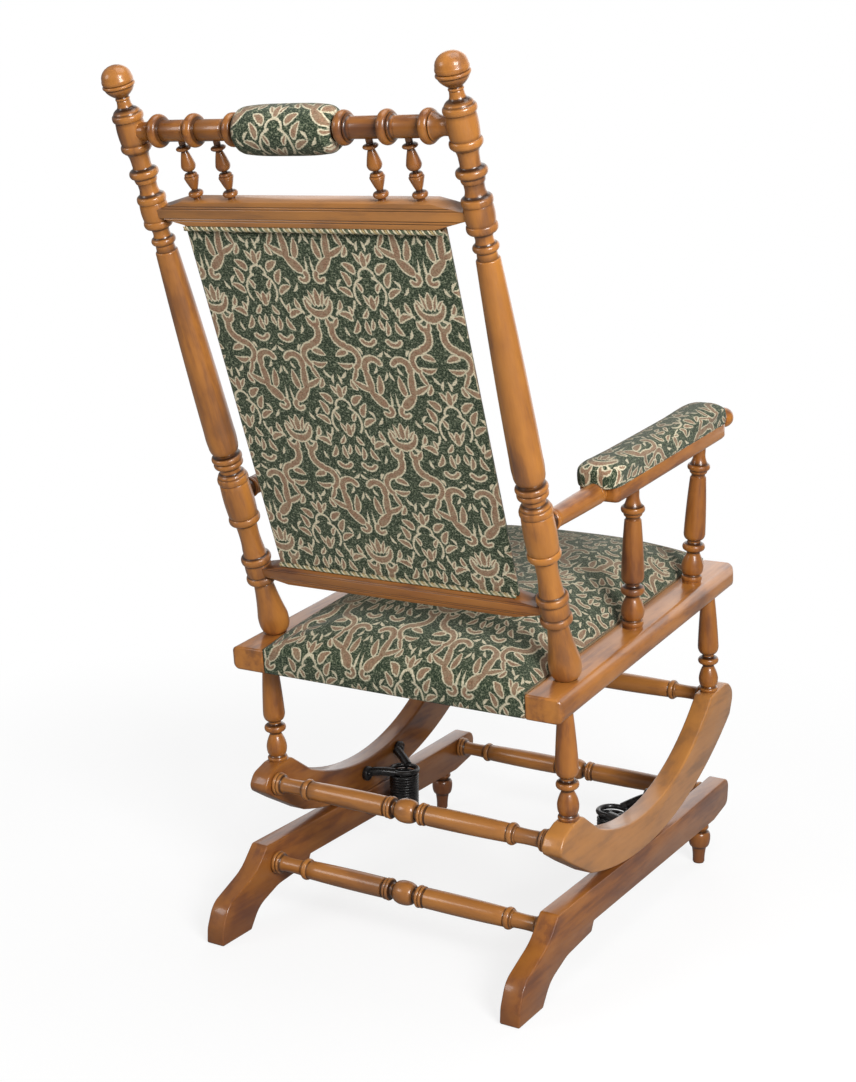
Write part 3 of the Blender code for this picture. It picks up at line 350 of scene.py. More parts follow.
# ovals: across, up, turn in degrees, half length, half width, bend
# arcs: across, up, radius, middle angle and half sweep in degrees, half width at the first end and at the last
# the lyre stands over the foot of the lotus, the spray is measured from its own axis half a repeat away
lyreArcs = [
    (18.5, 104.5, 11.0, 68, 80, 3.7, 2.7),         # crook
    (48.0, 114.5, 13.0, 165, 74, 3.4, 2.4),        # bend of the scroll
    (46.0, 146.0, 16.5, -22, 50, 3.6, 3.2),
    (11.0, 49.5, 5.2, 230, 96, 2.6, 1.6),          # curl at the foot
]
lyreOvals = [
    (20.5, 64.5, -46, 14.0, 5.2, 0.0),             # trunk
    (28.0, 88.0, -7, 18.0, 4.0, 1.0),              # shaft of the crook
    (14.0, 82.5, 10, 11.5, 3.5, 0.8),
    (38.5, 79.0, -62, 13.0, 2.9, -1.4),
    (51.0, 80.0, -24, 6.0, 2.0, -1.0),
    (43.8, 95.0, 24, 10.0, 2.0, 1.0),
    (54.5, 103.5, -88, 9.0, 2.5, -2.8),            # tail of the bend
    (57.0, 120.5, -108, 7.5, 3.0, 1.0),
]
sprayArcs = [
    (48.0, -48.8, 13.0, 165, 74, 3.4, 2.4),        # the scroll goes on into the row above
    (46.0, -17.3, 16.5, -22, 50, 3.6, 3.2),
    (17.0, -21.0, 9.0, 268, 58, 1.9, 1.9),
]
sprayOvals = [
    (55.0, -6.5, 36, 7.0, 2.4, 0.8),
    (64.8, -6.5, -16, 6.0, 2.2, -0.8),
    (26.0, 49.0, -24, 8.4, 3.2, 1.4),
    (31.0, 34.0, -60, 8.6, 2.9, 1.6),
    (20.0, 62.0, -52, 8.0, 3.7, 1.2),
    (26.0, -10.5, 26, 7.6, 2.3, 1.8),
    (13.5, -10.0, -8, 7.4, 2.0, -1.0),
    (5.0, -6.0, 14, 5.6, 1.3, 0.6),
    (43.0, 15.5, 20, 5.4, 1.9, 0.8),
    (11.5, 39.0, -28, 5.4, 1.6, 0.8),
    (11.0, 6.5, 34, 5.4, 1.6, 0.8),
]
lotusArcs = [
    (0.0, 20.5, 16.5, -46, 44, 4.3, 1.4),
]
lotusOvals = [
    (0.0, 24.5, 0, 9.5, 3.4, 0.0),
    (6.8, 23.5, -16, 8.6, 1.5, 0.6),
    (12.6, 21.0, -36, 5.6, 1.0, 0.6),
]
bloomOvals = [
    (0.0, 71.0, 0, 8.0, 3.4, 0.0),                 # flower over the spray
    (7.0, 73.0, -32, 5.4, 1.5, 0.6),
    (0.0, 20.5, 0, 7.4, 3.4, 0.0),                 # bud in it
    (6.4, 23.5, -24, 6.0, 1.2, 0.6),
    (37.5, 5.0, -68, 8.0, 3.0, 2.2),
    (30.0, 10.0, -14, 4.6, 1.3, 0.6),
]
# lines with no fill
stemArcs = [
    (0.0, 31.0, 20.0, 16, 54, 0.4, 0.4),
    (40.0, 22.0, 17.0, 216, 34, 0.4, 0.4),
    (0.0, 51.0, 10.0, 40, 50, 0.4, 0.4),
]
sprigOvals = [
    (3.8, 61.0, 6, 12.0, 0.7, 0.8),
    (5.0, 131.0, 30, 5.2, 0.9, 1.0),
    (4.0, 121.0, 50, 4.6, 0.9, 1.0),
    (3.0, 94.0, 24, 5.2, 0.8, 0.8),
    (31.0, 126.0, -36, 5.2, 0.9, 1.0),
    (35.0, 116.0, 10, 4.6, 0.8, 1.0),
    (60.0, 92.0, 40, 5.4, 1.0, 1.0),
    (67.0, 87.0, -14, 5.4, 1.0, 0.8),
    (34.0, 44.0, -40, 5.2, 0.9, 1.2),
    (24.0, 35.0, 34, 5.2, 0.9, 1.0),
    (25.0, 8.0, -52, 5.0, 0.9, 0.9),
    (15.0, 1.0, 62, 5.0, 0.9, 0.9),
    (9.0, -13.0, -34, 5.2, 0.9, 0.9),
    (30.0, -16.0, 20, 5.0, 0.9, 0.9),
    (15.0, 101.0, 30, 4.6, 0.8, 1.0),
]


def figureGroup(name, sizes, angle):
    # a group that is given the place on the cloth and one figure's sizes, with that place seen from the figure
    inputs = [("Place", vector)] + [(size, number) for size in sizes]
    tree, start, end = newGroup(name, inputs, [("Distance", number)])
    value = start.outputs
    middle = joinXY(tree, value["Across"], value["Up"])
    moved = shift(tree, "SUBTRACT", value["Place"], middle)
    turned = addNode(tree, "ShaderNodeVectorRotate", rotation_type="Z_AXIS", invert=True)
    feedAll(tree, turned, {"Vector": moved, "Angle": value[angle]})
    return tree, value, turned.outputs[0], end.inputs["Distance"]


def makePetal():
    sizes = ["Across", "Up", "Turn", "Length", "Width", "Bend"]
    tree, value, place, distance = figureGroup("petal", sizes, "Turn")
    split = splitXYZ(tree, place)
    run = calc(tree, "DIVIDE", split[1], value["Length"])
    square = calc(tree, "MULTIPLY", run, run)
    side = calc(tree, "SUBTRACT", split[0], calc(tree, "MULTIPLY", value["Bend"], square))
    wide = calc(tree, "MULTIPLY", value["Width"], ramp(tree, run, -1.0, 1.0, 1.2, 0.65))
    side = calc(tree, "DIVIDE", side, wide)
    reach = calc(tree, "MULTIPLY_ADD", side, side, square)
    endwise = calc(tree, "DIVIDE", square, reach)      # 1 off the tips, 0 off the flanks
    scale = calc(tree, "MULTIPLY_ADD", endwise, calc(tree, "SUBTRACT", value["Length"], wide), wide)
    beyond = calc(tree, "SUBTRACT", calc(tree, "SQRT", reach), 1.0)
    feed(tree, distance, calc(tree, "MULTIPLY", beyond, scale))
    return tree


def makeStroke():
    sizes = ["Across", "Up", "Radius", "Middle", "Sweep", "First", "Last"]
    tree, value, place, distance = figureGroup("stroke", sizes, "Middle")
    split = splitXYZ(tree, place)
    swing = calc(tree, "ARCTAN2", split[1], split[0])
    off = calc(tree, "SUBTRACT", lengthOf(tree, place), value["Radius"])
    past = calc(tree, "SUBTRACT", calc(tree, "ABSOLUTE", swing), value["Sweep"])
    past = calc(tree, "MULTIPLY", calc(tree, "MAXIMUM", past, 0.0), value["Radius"])
    reach = calc(tree, "SQRT", calc(tree, "MULTIPLY_ADD", off, off, calc(tree, "MULTIPLY", past, past)))
    run = ramp(tree, calc(tree, "DIVIDE", swing, value["Sweep"]), -1.0, 1.0)
    taper = calc(tree, "SUBTRACT", value["Last"], value["First"])
    wide = calc(tree, "MULTIPLY_ADD", run, taper, value["First"])
    feed(tree, distance, calc(tree, "SUBTRACT", reach, wide))
    return tree


def makeMotifs(petal, stroke):
    outputs = [("Leaf", number), ("Bloom", number), ("Sprig", number)]
    tree, start, end = newGroup("damaskMotifs", [("Cloth", vector)], outputs)
    wide, high = damask["repeatWide"], damask["repeatHigh"]
    split = splitXYZ(tree, start.outputs["Cloth"])
    rise = calc(tree, "DIVIDE", calc(tree, "SUBTRACT", split[1], damask["rowStart"]), high)
    row = calc(tree, "FLOOR", rise)
    up = calc(tree, "MULTIPLY_ADD", calc(tree, "FRACT", rise), high, damask["rowStart"])
    step = calc(tree, "MULTIPLY", calc(tree, "FLOORED_MODULO", row, 2.0), 0.5)
    across = calc(tree, "ADD", calc(tree, "DIVIDE", split[0], wide), step)
    across = calc(tree, "SUBTRACT", calc(tree, "FRACT", across), 0.5)
    across = calc(tree, "MULTIPLY", calc(tree, "ABSOLUTE", across), wide)
    lyre = joinXY(tree, across, up)
    spray = joinXY(tree, calc(tree, "SUBTRACT", wide / 2, across), up)

    def nearest(*lists):
        # each figure joins the running least distance before the next is made, which keeps the shader small
        found = None
        for group, place, figures in lists:
            for figure in figures:
                node = addNode(tree, "ShaderNodeGroup", node_tree=group)
                feed(tree, node.inputs["Place"], place)
                for socket, value in zip(node.inputs[1:], figure):
                    angle = socket.name in ("Turn", "Middle", "Sweep")
                    socket.default_value = math.radians(value) if angle else value
                gap = node.outputs[0]
                found = gap if found is None else calc(tree, "MINIMUM", found, gap)
        return found

    leaves = [(petal, lyre, lyreOvals), (petal, spray, sprayOvals),
              (stroke, lyre, lyreArcs), (stroke, spray, sprayArcs)]
    feed(tree, end.inputs["Leaf"], nearest(*leaves))
    blooms = [(petal, lyre, lotusOvals), (petal, spray, bloomOvals), (stroke, lyre, lotusArcs)]
    feed(tree, end.inputs["Bloom"], nearest(*blooms))
    feed(tree, end.inputs["Sprig"], nearest((petal, lyre, sprigOvals), (stroke, spray, stemArcs)))
    return tree


def makeDamask(motifs):
    made, tree, shader = newMaterial("damaskCloth")
    uv = addNode(tree, "ShaderNodeUVMap", uv_map="cloth")
    place = shift(tree, "MULTIPLY", uv.outputs[0], (1000, 1000, 0))      # metres to millimetres
    stray = shift(tree, "SUBTRACT", cloud(tree, place, 0.50, 3.0, output="Color"), (0.5, 0.5, 0.5))
    stray = shift(tree, "MULTIPLY", stray, (damask["wander"], damask["wander"], 0))
    drawn = useGroup(tree, motifs, Cloth=shift(tree, "ADD", place, stray))
    tuft = cloud(tree, shift(tree, "MULTIPLY", place, (0.46, 0.60, 1)), 1.0, 3.0, 0.66)
    speck = cloud(tree, place, 0.16, 3.0, 0.7)
    ground = blendColour(tree, ramp(tree, tuft, 0.46, 0.64), damask["groundDark"], damask["groundLight"])
    ground = blendColour(tree, ramp(tree, speck, 0.42, 0.62, 0.0, 0.65), ground, damask["groundDark"])
    flecks = ramp(tree, cloud(tree, place, 0.30, 2.0), 0.56, 0.66, 0.0, 0.70)
    ground = blendColour(tree, flecks, ground, damask["fleck"])
    fill = blendColour(tree, ramp(tree, tuft, 0.36, 0.62), damask["fillDark"], damask["fillLight"])
    fill = blendColour(tree, ramp(tree, speck, 0.42, 0.62, 0.0, 0.35), fill, damask["threadDark"])
    thread = blendColour(tree, ramp(tree, tuft, 0.32, 0.58), damask["threadDark"], damask["thread"])
    paint = ground
    for label in ("Sprig", "Leaf", "Bloom"):
        edge = damask["sprigLine"] if label == "Sprig" else damask["outline"]
        paint = blendColour(tree, ramp(tree, drawn[label], edge + 0.45, edge - 0.35), paint, thread)
        if label != "Sprig":
            paint = blendColour(tree, ramp(tree, drawn[label], 0.2, -0.3), paint, fill)
    slant = feedAll(tree, addNode(tree, "ShaderNodeLayerWeight"), {"Blend": 0.5})
    hidden = ramp(tree, slant.outputs["Facing"], 0.46, 0.78, 0.0, 0.56)
    paint = blendColour(tree, hidden, paint, damask["pile"])
    # painted shade darkens the seat pad, which lies under the back and the arms
    paint = blendColour(tree, attributeOf(tree, "tone_and_painted_light"), paint, damask["groundDark"])
    feedAll(tree, shader, {"Base Color": paint, "Roughness": 0.88, "Specular IOR Level": 0.22,
                           "Sheen Weight": 0.12, "Sheen Roughness": 0.5})
    rib = addNode(tree, "ShaderNodeTexWave", wave_type="BANDS", bands_direction="Y")
    feedAll(tree, rib, {"Vector": place, "Scale": 0.33, "Distortion": 1.6})
    height = calc(tree, "MULTIPLY_ADD", tuft, 1.0, calc(tree, "MULTIPLY", rib.outputs["Fac"], 0.30))
    addBump(tree, shader, height, damask["bumpStrength"], damask["bumpDeep"])
    return made


# Plain finishes on object coordinates

finishes = {
    # name: dark, light, roughness, metallic, noise scale, bump distance
    "blackIron": ((0.006, 0.006, 0.007, 1), (0.022, 0.021, 0.021, 1), 0.28, 0.0, 160, 0.0003),
    "tackBrass": ((0.16, 0.09, 0.03, 1), (0.46, 0.31, 0.11, 1), 0.36, 1.0, 400, 0.0001),
    "innerWood": ((0.24, 0.14, 0.07, 1), (0.46, 0.31, 0.17, 1), 0.75, 0.0, 60, 0.0004),
    "hessian": ((0.17, 0.11, 0.055, 1), (0.42, 0.31, 0.18, 1), 0.95, 0.0, 700, 0.0006),
    "ropeCream": ((0.40, 0.35, 0.22, 1), (0.74, 0.67, 0.48, 1), 0.8, 0.0, 900, 0.0004),
    "ropeGold": ((0.24, 0.17, 0.07, 1), (0.54, 0.42, 0.20, 1), 0.7, 0.0, 900, 0.0004),
    "ropeGreen": ((0.035, 0.050, 0.025, 1), (0.15, 0.18, 0.10, 1), 0.8, 0.0, 900, 0.0004),
}


def makeFinish(name):
    dark, light, rough, metallic, scale, depth = finishes[name]
    made, tree, shader = newMaterial(name)
    spots = cloud(tree, addNode(tree, "ShaderNodeTexCoord").outputs["Object"], scale, 4.0, 0.6)
    feedAll(tree, shader, {
        "Base Color": blendColour(tree, ramp(tree, spots, 0.35, 0.65), dark, light),
        "Roughness": ramp(tree, spots, 0.2, 0.8, rough * 0.85, min(1.0, rough * 1.15)),
        "Metallic": metallic,
    })
    addBump(tree, shader, spots, 0.4, depth)
    return made


polishedWood = makeWood(makeGrain())
damaskCloth = makeDamask(makeMotifs(makePetal(), makeStroke()))
finish = {name: makeFinish(name) for name in finishes}
print("materials ready")

# Places taken from the frame

sides = {"left": 1, "right": -1}
seatTurn = math.radians(5.94)      # the seat climbs to the front
backTurn = math.radians(22.1)      # the back leans to the rear
hinge = Vector((0, 0.1076, 0.3835))      # where the posts stand on the seat rails
seatFrame = Matrix.Translation(hinge) @ Matrix.Rotation(-seatTurn, 4, "X")
backFrame = Matrix.Translation(hinge) @ Matrix.Rotation(-backTurn, 4, "X")


ringDepth = 0.0008


def axisOf(node):
    # middle of each end ring of a turned CAD piece, the lower or right-hand end first
    points = np.array([tuple(v.co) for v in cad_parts[node].data.vertices])
    axis = np.linalg.svd(points - points.mean(0), full_matrices=False)[2][0]
    if axis[2] < -0.3 or (abs(axis[2]) <= 0.3 and axis[0] < 0):
        axis = -axis
    reach = points @ axis
    low = np.unique(points[reach < reach.min() + ringDepth].round(5), axis=0)
    high = np.unique(points[reach > reach.max() - ringDepth].round(5), axis=0)
    return Vector((low.min(0) + low.max(0)) / 2), Vector((high.min(0) + high.max(0)) / 2)


def middleOf(node):
    low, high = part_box(node)
    return (low + high) / 2


# Modelling helpers


def startPoint(name, at):
    piece = addShape(name, bpy.ops.mesh.primitive_plane_add, size=0.01)
    bpy.ops.object.mode_set(mode="EDIT")
    bpy.ops.mesh.select_mode(type="VERT")
    bpy.ops.mesh.merge(type="CENTER")
    bpy.ops.transform.translate(value=at)
    return piece


def drawOn(points):
    for here, there in zip(points, points[1:]):
        bpy.ops.mesh.extrude_region_move(TRANSFORM_OT_translate={"value": there - here})
    bpy.ops.mesh.select_all(action="SELECT")


def fillOut(name, points, way):
    # an outline, filled and drawn out into a solid, left in edit mode
    piece = startPoint(name, points[0])
    drawOn(points)
    bpy.ops.mesh.edge_face_add()
    bpy.ops.mesh.extrude_region_move(TRANSFORM_OT_translate={"value": way})
    return piece


def spinOut(name, points, segments):
    # a line of points spun about Z, left in edit mode
    piece = startPoint(name, points[0])
    drawOn(points)
    bpy.ops.mesh.spin(steps=segments, angle=2 * math.pi, center=(0, 0, 0), axis=(0, 0, 1))
    return piece


def cleanUp(gap=1e-6):
    bpy.ops.mesh.select_all(action="SELECT")
    bpy.ops.mesh.remove_doubles(threshold=gap)
    bpy.ops.mesh.normals_make_consistent(inside=False)
    bpy.ops.object.mode_set(mode="OBJECT")


def applyAll(piece):
    for modifier in list(piece.modifiers):
        bpy.ops.object.modifier_apply(modifier=modifier.name)


def easeEdges(piece, width, segments, angle):
    easing = piece.modifiers.new("ease", "BEVEL")
    easing.width = width
    easing.segments = segments
    easing.limit_method = "ANGLE"
    easing.angle_limit = math.radians(angle)
    applyAll(piece)


def windRound(name, corners, radius, out, turns, steps, rise, fill="NOTHING"):
    # a round wire of that radius, wound about Z at that distance out
    piece = addShape(name, bpy.ops.mesh.primitive_circle_add, vertices=corners, radius=radius,
                     location=(out, 0, 0), rotation=(math.pi / 2, 0, 0), fill_type=fill)
    coil = piece.modifiers.new("coil", "SCREW")
    coil.angle = 2 * math.pi * turns
    coil.steps = coil.render_steps = steps
    coil.screw_offset = rise
    coil.use_smooth_shade = True
    coil.use_merge_vertices = False
    applyAll(piece)
    return piece


def pickOnly(*pieces):
    bpy.ops.object.select_all(action="DESELECT")
    for piece in pieces:
        piece.select_set(True)
    bpy.context.view_layer.objects.active = pieces[0]


def joinTo(name, *pieces):
    pickOnly(*pieces)
    bpy.ops.object.join()
    pieces[0].name = name
    return pieces[0]


grainStart, grainStep = [0.0], 0.73


def keepGrain(piece, along):
    # the grain attribute turns each piece's own length to the third axis and gives each its own timber
    grainStart[0] += grainStep
    order = {"X": (1, 2, 0), "Y": (0, 2, 1), "Z": (0, 1, 2)}[along]
    store = piece.data.attributes.new("grain", "FLOAT_VECTOR", "POINT")
    for point, vert in zip(store.data, piece.data.vertices):
        point.vector = [vert.co[i] + grainStart[0] * (0.31 + 0.17 * i) for i in order]


def keepToneAndLight(piece, node):
    # each piece's darkening or paling, partly its own tone and partly painted shade and painted light, kept as
    # an attribute
    amount = next((value for start, value in pieceToneAndLight.items() if node.startswith(start)), 0.0)
    store = piece.data.attributes.new("tone_and_painted_light", "FLOAT", "POINT")
    store.data.foreach_set("value", [amount] * len(piece.data.vertices))


def settle(piece, matrix, material, body, slot, *nodes, angle=40):
    pickOnly(piece)
    piece.matrix_world = matrix
    bpy.ops.object.transform_apply(location=True, rotation=True, scale=True)
    bpy.ops.object.shade_smooth_by_angle(angle=math.radians(angle))
    if material:
        piece.data.materials.clear()
        piece.data.materials.append(material)
    for spare in list(piece.data.uv_layers):
        if spare.name != "cloth":
            piece.data.uv_layers.remove(spare)
    if material in (polishedWood, damaskCloth):
        keepToneAndLight(piece, nodes[0])
    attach(piece, body)
    if nodes:
        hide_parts(*nodes)
    return piece


# Turned pieces: a profile of heights and diameters, drawn point by point and spun


def line(z, d):
    return [(z, d, "line", 0)]


def bow(z, d, out):
    return [(z, d, "bow", out)]


def bead(at, across, wide, root):
    return [(at - wide / 2, root, "line", 0), (at + wide / 2, root, "bead", (across - root) / 2)]


def under(z, d):      # quarter round that leaves outwards
    return [(z, d, "under", 0)]


def over(z, d):       # quarter round that leaves along the axis
    return [(z, d, "over", 0)]


def profileOf(rows):
    points = [(rows[0][0], rows[0][1] / 2)]
    for z, d, kind, out in rows[1:]:
        z0, r0 = points[-1]
        count = {"line": 1, "bow": 8, "bead": 9, "under": 7, "over": 7}[kind]
        for i in range(1, count + 1):
            t = i / count
            swing = math.pi * t / 2
            rise, spread, lift = t, t, 0
            if kind == "bow":
                lift = 4 * out * t * (1 - t)
            elif kind == "bead":
                rise = spread = (1 - math.cos(math.pi * t)) / 2
                lift = out * math.sin(math.pi * t)
            elif kind == "under":
                rise, spread = 1 - math.cos(swing), math.sin(swing)
            elif kind == "over":
                rise, spread = math.sin(swing), 1 - math.cos(swing)
            points.append((z0 + (z - z0) * rise, r0 + (d / 2 - r0) * spread + lift))
    return points


def mirrored(half, length):
    # the second half of a turning that is alike at both ends
    flip = {"under": "over", "over": "under"}
    back = []
    for i in range(len(half) - 1, 0, -1):
        z, d = half[i - 1][:2]
        kind, out = half[i][2:]
        back.append((length - z, d, flip.get(kind, kind), out))
    top = half[-1]
    return half + [(length - top[0], top[1], "line", 0)] + back


def spinProfile(name, rows, segments):
    points = profileOf(rows)
    outline = [Vector((r, 0, z)) for z, r in points]
    outline = [Vector((0, 0, points[0][0]))] + outline + [Vector((0, 0, points[-1][0]))]
    piece = spinOut(name, outline, segments)
    cleanUp()
    keepGroove(piece, points)
    return piece


# the wood is darkened where a profile is lower than what stands within the window beside it
grooveDarkening = {"window": 0.0020, "least": 0.0005, "full": 0.0017, "crown": 0.003, "crownFade": 0.002}


def keepGroove(piece, points):
    g = grooveDarkening
    heights, radii = np.array(points).T
    depth = []
    for z, r in points:
        beside = radii[np.abs(heights - z) < g["window"]].max()
        inside = min(1.0, max(0.0, heights.max() - z - g["crown"]) / g["crownFade"])      # not on a crown
        depth.append(inside * min(1.0, max(0.0, beside - r - g["least"]) / g["full"]))
    store = piece.data.attributes.new("groove", "FLOAT", "POINT")
    for value, vert in zip(store.data, piece.data.vertices):
        radius = math.hypot(vert.co.x, vert.co.y)
        value.value = depth[int(np.argmin((heights - vert.co.z) ** 2 + (radii - radius) ** 2))]


def standOn(foot, head):
    return Matrix.Translation(foot) @ (head - foot).to_track_quat("Z", "Y").to_matrix().to_4x4()


def turnPiece(node, rows, turning, body):
    foot, head = axisOf(node)
    piece = spinProfile(node + "_turned", rows, turning["segments"])
    keepGrain(piece, "Z")
    shoulder = foot + (head - foot).normalized() * turning["tenon"]
    return settle(piece, standOn(shoulder, head), polishedWood, body, "wood", node)


def turnedLength(node, turning):
    foot, head = axisOf(node)
    return (head - foot).length - 2 * turning["tenon"]


postTurning = {
    "segments": 40,
    "tenon": 0.020,
    "lower": 0.1005,      # heights of the cross rails, the arm and the crest rail on the post
    "arm": 0.211,
    "shaft": 0.279,
    "upper": 0.5863,
    "crest": 0.679,
    "finial": 0.7355,
    "finialAcross": 0.0364,
}


def postRows():
    p = postTurning
    lower, arm, shaft, upper, crest = p["lower"], p["arm"], p["shaft"], p["upper"], p["crest"]
    ballLow, ballTop = p["finial"] - p["finialAcross"] / 2, p["finial"] + p["finialAcross"] / 2
    rows = line(-0.012, 0.0230) + line(0.003, 0.0250) + under(0.0185, 0.0396) + bow(0.031, 0.0378, 0.0004)
    rows += bow(lower - 0.0235, 0.0252, -0.0007) + line(lower - 0.0225, 0.0240) + over(lower - 0.0196, 0.0335)
    rows += bead(lower - 0.0145, 0.0392, 0.0094, 0.0345) + line(lower - 0.0092, 0.0335)
    rows += bow(lower + 0.0092, 0.0335, 0.0008) + bead(lower + 0.0145, 0.0392, 0.0094, 0.0345)
    rows += line(lower + 0.0198, 0.0318) + under(lower + 0.0290, 0.0282) + bow(arm - 0.0450, 0.0272, -0.0010)
    rows += over(arm - 0.0415, 0.0345) + bead(arm - 0.0360, 0.0402, 0.0092, 0.0360)
    rows += line(arm - 0.0305, 0.0362)
    rows += line(arm - 0.0298, 0.0370) + bow(arm + 0.0165, 0.0370, 0.0009) + line(arm + 0.0172, 0.0360)
    rows += bead(arm + 0.0220, 0.0394, 0.0084, 0.0364) + line(arm + 0.0266, 0.0352)
    rows += bow(arm + 0.0310, 0.0318, 0.0007)
    rows += line(arm + 0.0318, 0.0296) + under(arm + 0.0362, 0.0262) + over(arm + 0.0398, 0.0300)
    rows += bead(arm + 0.0440, 0.0370, 0.0074, 0.0318) + bead(arm + 0.0520, 0.0386, 0.0078, 0.0326)
    rows += line(arm + 0.0568, 0.0290) + line(shaft - 0.0100, 0.0266) + line(shaft - 0.0088, 0.0276)
    rows += under(shaft + 0.0030, 0.0370) + bow(shaft + 0.0220, 0.0376, 0.0004)
    rows += bow(upper - 0.0505, 0.0264, 0.0010)
    rows += over(upper - 0.0485, 0.0228) + line(upper - 0.0420, 0.0218)
    rows += bead(upper - 0.0360, 0.0286, 0.0080, 0.0222)
    rows += line(upper - 0.0312, 0.0212) + bow(upper - 0.0215, 0.0215, -0.0010) + over(upper - 0.0190, 0.0300)
    rows += bead(upper - 0.0143, 0.0338, 0.0080, 0.0306) + line(upper - 0.0098, 0.0310)
    rows += bow(upper + 0.0098, 0.0310, 0.0008) + bead(upper + 0.0143, 0.0338, 0.0080, 0.0306)
    rows += line(upper + 0.0190, 0.0292) + under(upper + 0.0280, 0.0212) + line(upper + 0.0335, 0.0220)
    rows += under(upper + 0.0395, 0.0262) + bead(upper + 0.0450, 0.0338, 0.0090, 0.0272)
    rows += line(upper + 0.0505, 0.0250)
    rows += under(crest - 0.0385, 0.0216) + line(crest - 0.0330, 0.0220) + over(crest - 0.0225, 0.0300)
    rows += bead(crest - 0.0172, 0.0354, 0.0080, 0.0312) + line(crest - 0.0126, 0.0314)
    rows += bow(crest + 0.0126, 0.0314, 0.0008) + bead(crest + 0.0172, 0.0356, 0.0080, 0.0312)
    rows += line(crest + 0.0216, 0.0308) + bow(crest + 0.0262, 0.0236, 0.0008) + line(crest + 0.0266, 0.0222)
    rows += under(ballLow - 0.0034, 0.0152) + bead(ballLow - 0.0008, 0.0164, 0.0030, 0.0142)
    rows += line(ballLow + 0.0012, 0.0138)
    rows += bow(ballLow + 0.0118, 0.0330, 0.0016) + line(ballLow + 0.0122, 0.0322)
    rows += bead(ballLow + 0.0144, 0.0364, 0.0036, 0.0338) + line(ballLow + 0.0166, 0.0324)
    rows += line(ballLow + 0.0170, 0.0338)
    return rows + bow(ballLow + 0.0225, 0.0340, 0.0007) + over(ballTop, 0.0006)


stretcherTurning = {
    "segments": 32, "tenon": 0.014,
    "nodes": ["rocker_stretcher_rear", "rocker_stretcher_front", "base_stretcher_rear", "base_stretcher_front"],
}


def stretcherRows(half):
    rows = line(-0.001, 0.0250) + line(0.0006, 0.0262) + bead(0.0032, 0.0302, 0.0046, 0.0275)
    rows += bead(0.0080, 0.0285, 0.0040, 0.0255) + line(0.0108, 0.0245) + under(0.0170, 0.0196)
    rows += bow(0.0420, 0.0200, -0.0004)
    rows += over(0.0452, 0.0232) + bead(0.0505, 0.0284, 0.0076, 0.0236) + line(0.0552, 0.0228)
    rows += line(0.0560, 0.0242) + bow(half - 0.0325, 0.0262, 0.0006) + line(half - 0.0316, 0.0228)
    rows += bead(half - 0.0268, 0.0282, 0.0044, 0.0240) + bead(half - 0.0222, 0.0292, 0.0048, 0.0244)
    rows += line(half - 0.0188, 0.0205) + under(half - 0.0158, 0.0172) + line(half - 0.0142, 0.0180)
    return rows + under(half - 0.0010, 0.0312)


supportTurning = {"segments": 32, "tenon": 0.016, "length": 0.1427}


def supportRows():
    length = supportTurning["length"]
    rows = line(-0.001, 0.0230) + line(0.0004, 0.0240) + bead(0.0030, 0.0264, 0.0044, 0.0238)
    rows += line(0.0062, 0.0218)
    rows += line(0.0078, 0.0206) + under(0.0190, 0.0270) + bow(0.0365, 0.0158, 0.0010) + line(0.0385, 0.0160)
    rows += over(0.0402, 0.0200) + line(0.0410, 0.0212) + bead(0.0458, 0.0286, 0.0088, 0.0222)
    rows += line(0.0506, 0.0212)
    rows += line(0.0512, 0.0196) + under(0.0540, 0.0162) + line(0.0560, 0.0172) + under(0.0668, 0.0290)
    return rows + bow(length + 0.002, 0.0177, 0.0006)


armSpindleTurning = {"segments": 32, "tenon": 0.010}


def armSpindleRows(top):
    rows = line(-0.006, 0.0250) + line(0.0012, 0.0262) + bead(0.0052, 0.0284, 0.0062, 0.0258)
    rows += line(0.0088, 0.0240)
    rows += line(0.0105, 0.0222) + under(0.0215, 0.0302) + bow(0.0400, 0.0178, 0.0010) + line(0.0425, 0.0180)
    rows += over(0.0442, 0.0222) + line(0.0448, 0.0236) + bead(0.0498, 0.0306, 0.0092, 0.0246)
    rows += line(0.0548, 0.0236)
    rows += line(0.0556, 0.0215) + under(0.0590, 0.0178) + line(0.0604, 0.0186) + under(0.0684, 0.0292)
    rows += bow(top - 0.0490, 0.0214, 0.0006) + line(top - 0.0482, 0.0196) + over(top - 0.0470, 0.0178)
    rows += line(top - 0.0440, 0.0184) + under(top - 0.0395, 0.0240)
    rows += bead(top - 0.0345, 0.0304, 0.0078, 0.0254)
    rows += line(top - 0.0302, 0.0240) + over(top - 0.0290, 0.0226)
    return rows + bow(top - 0.0140, 0.0160, -0.0012) + line(top + 0.004, 0.0152)


footTurning = {"segments": 32, "tenon": 0.0}


def footRows():
    rows = line(0.0004, 0.0148) + over(0.0024, 0.0168) + bow(0.0240, 0.0206, -0.0006) + line(0.0248, 0.0222)
    rows += under(0.0390, 0.0312) + over(0.0476, 0.0244) + line(0.0484, 0.0206) + line(0.0500, 0.0206)
    return rows + bead(0.0544, 0.0256, 0.0056, 0.0225) + line(0.0590, 0.0220)


crestTurning = {
    "segments": 36, "tenon": 0.010, "rod": 0.0235,
    "collar": 0.0368, "collarAt": (0.172, 0.123, 0.0705),
}


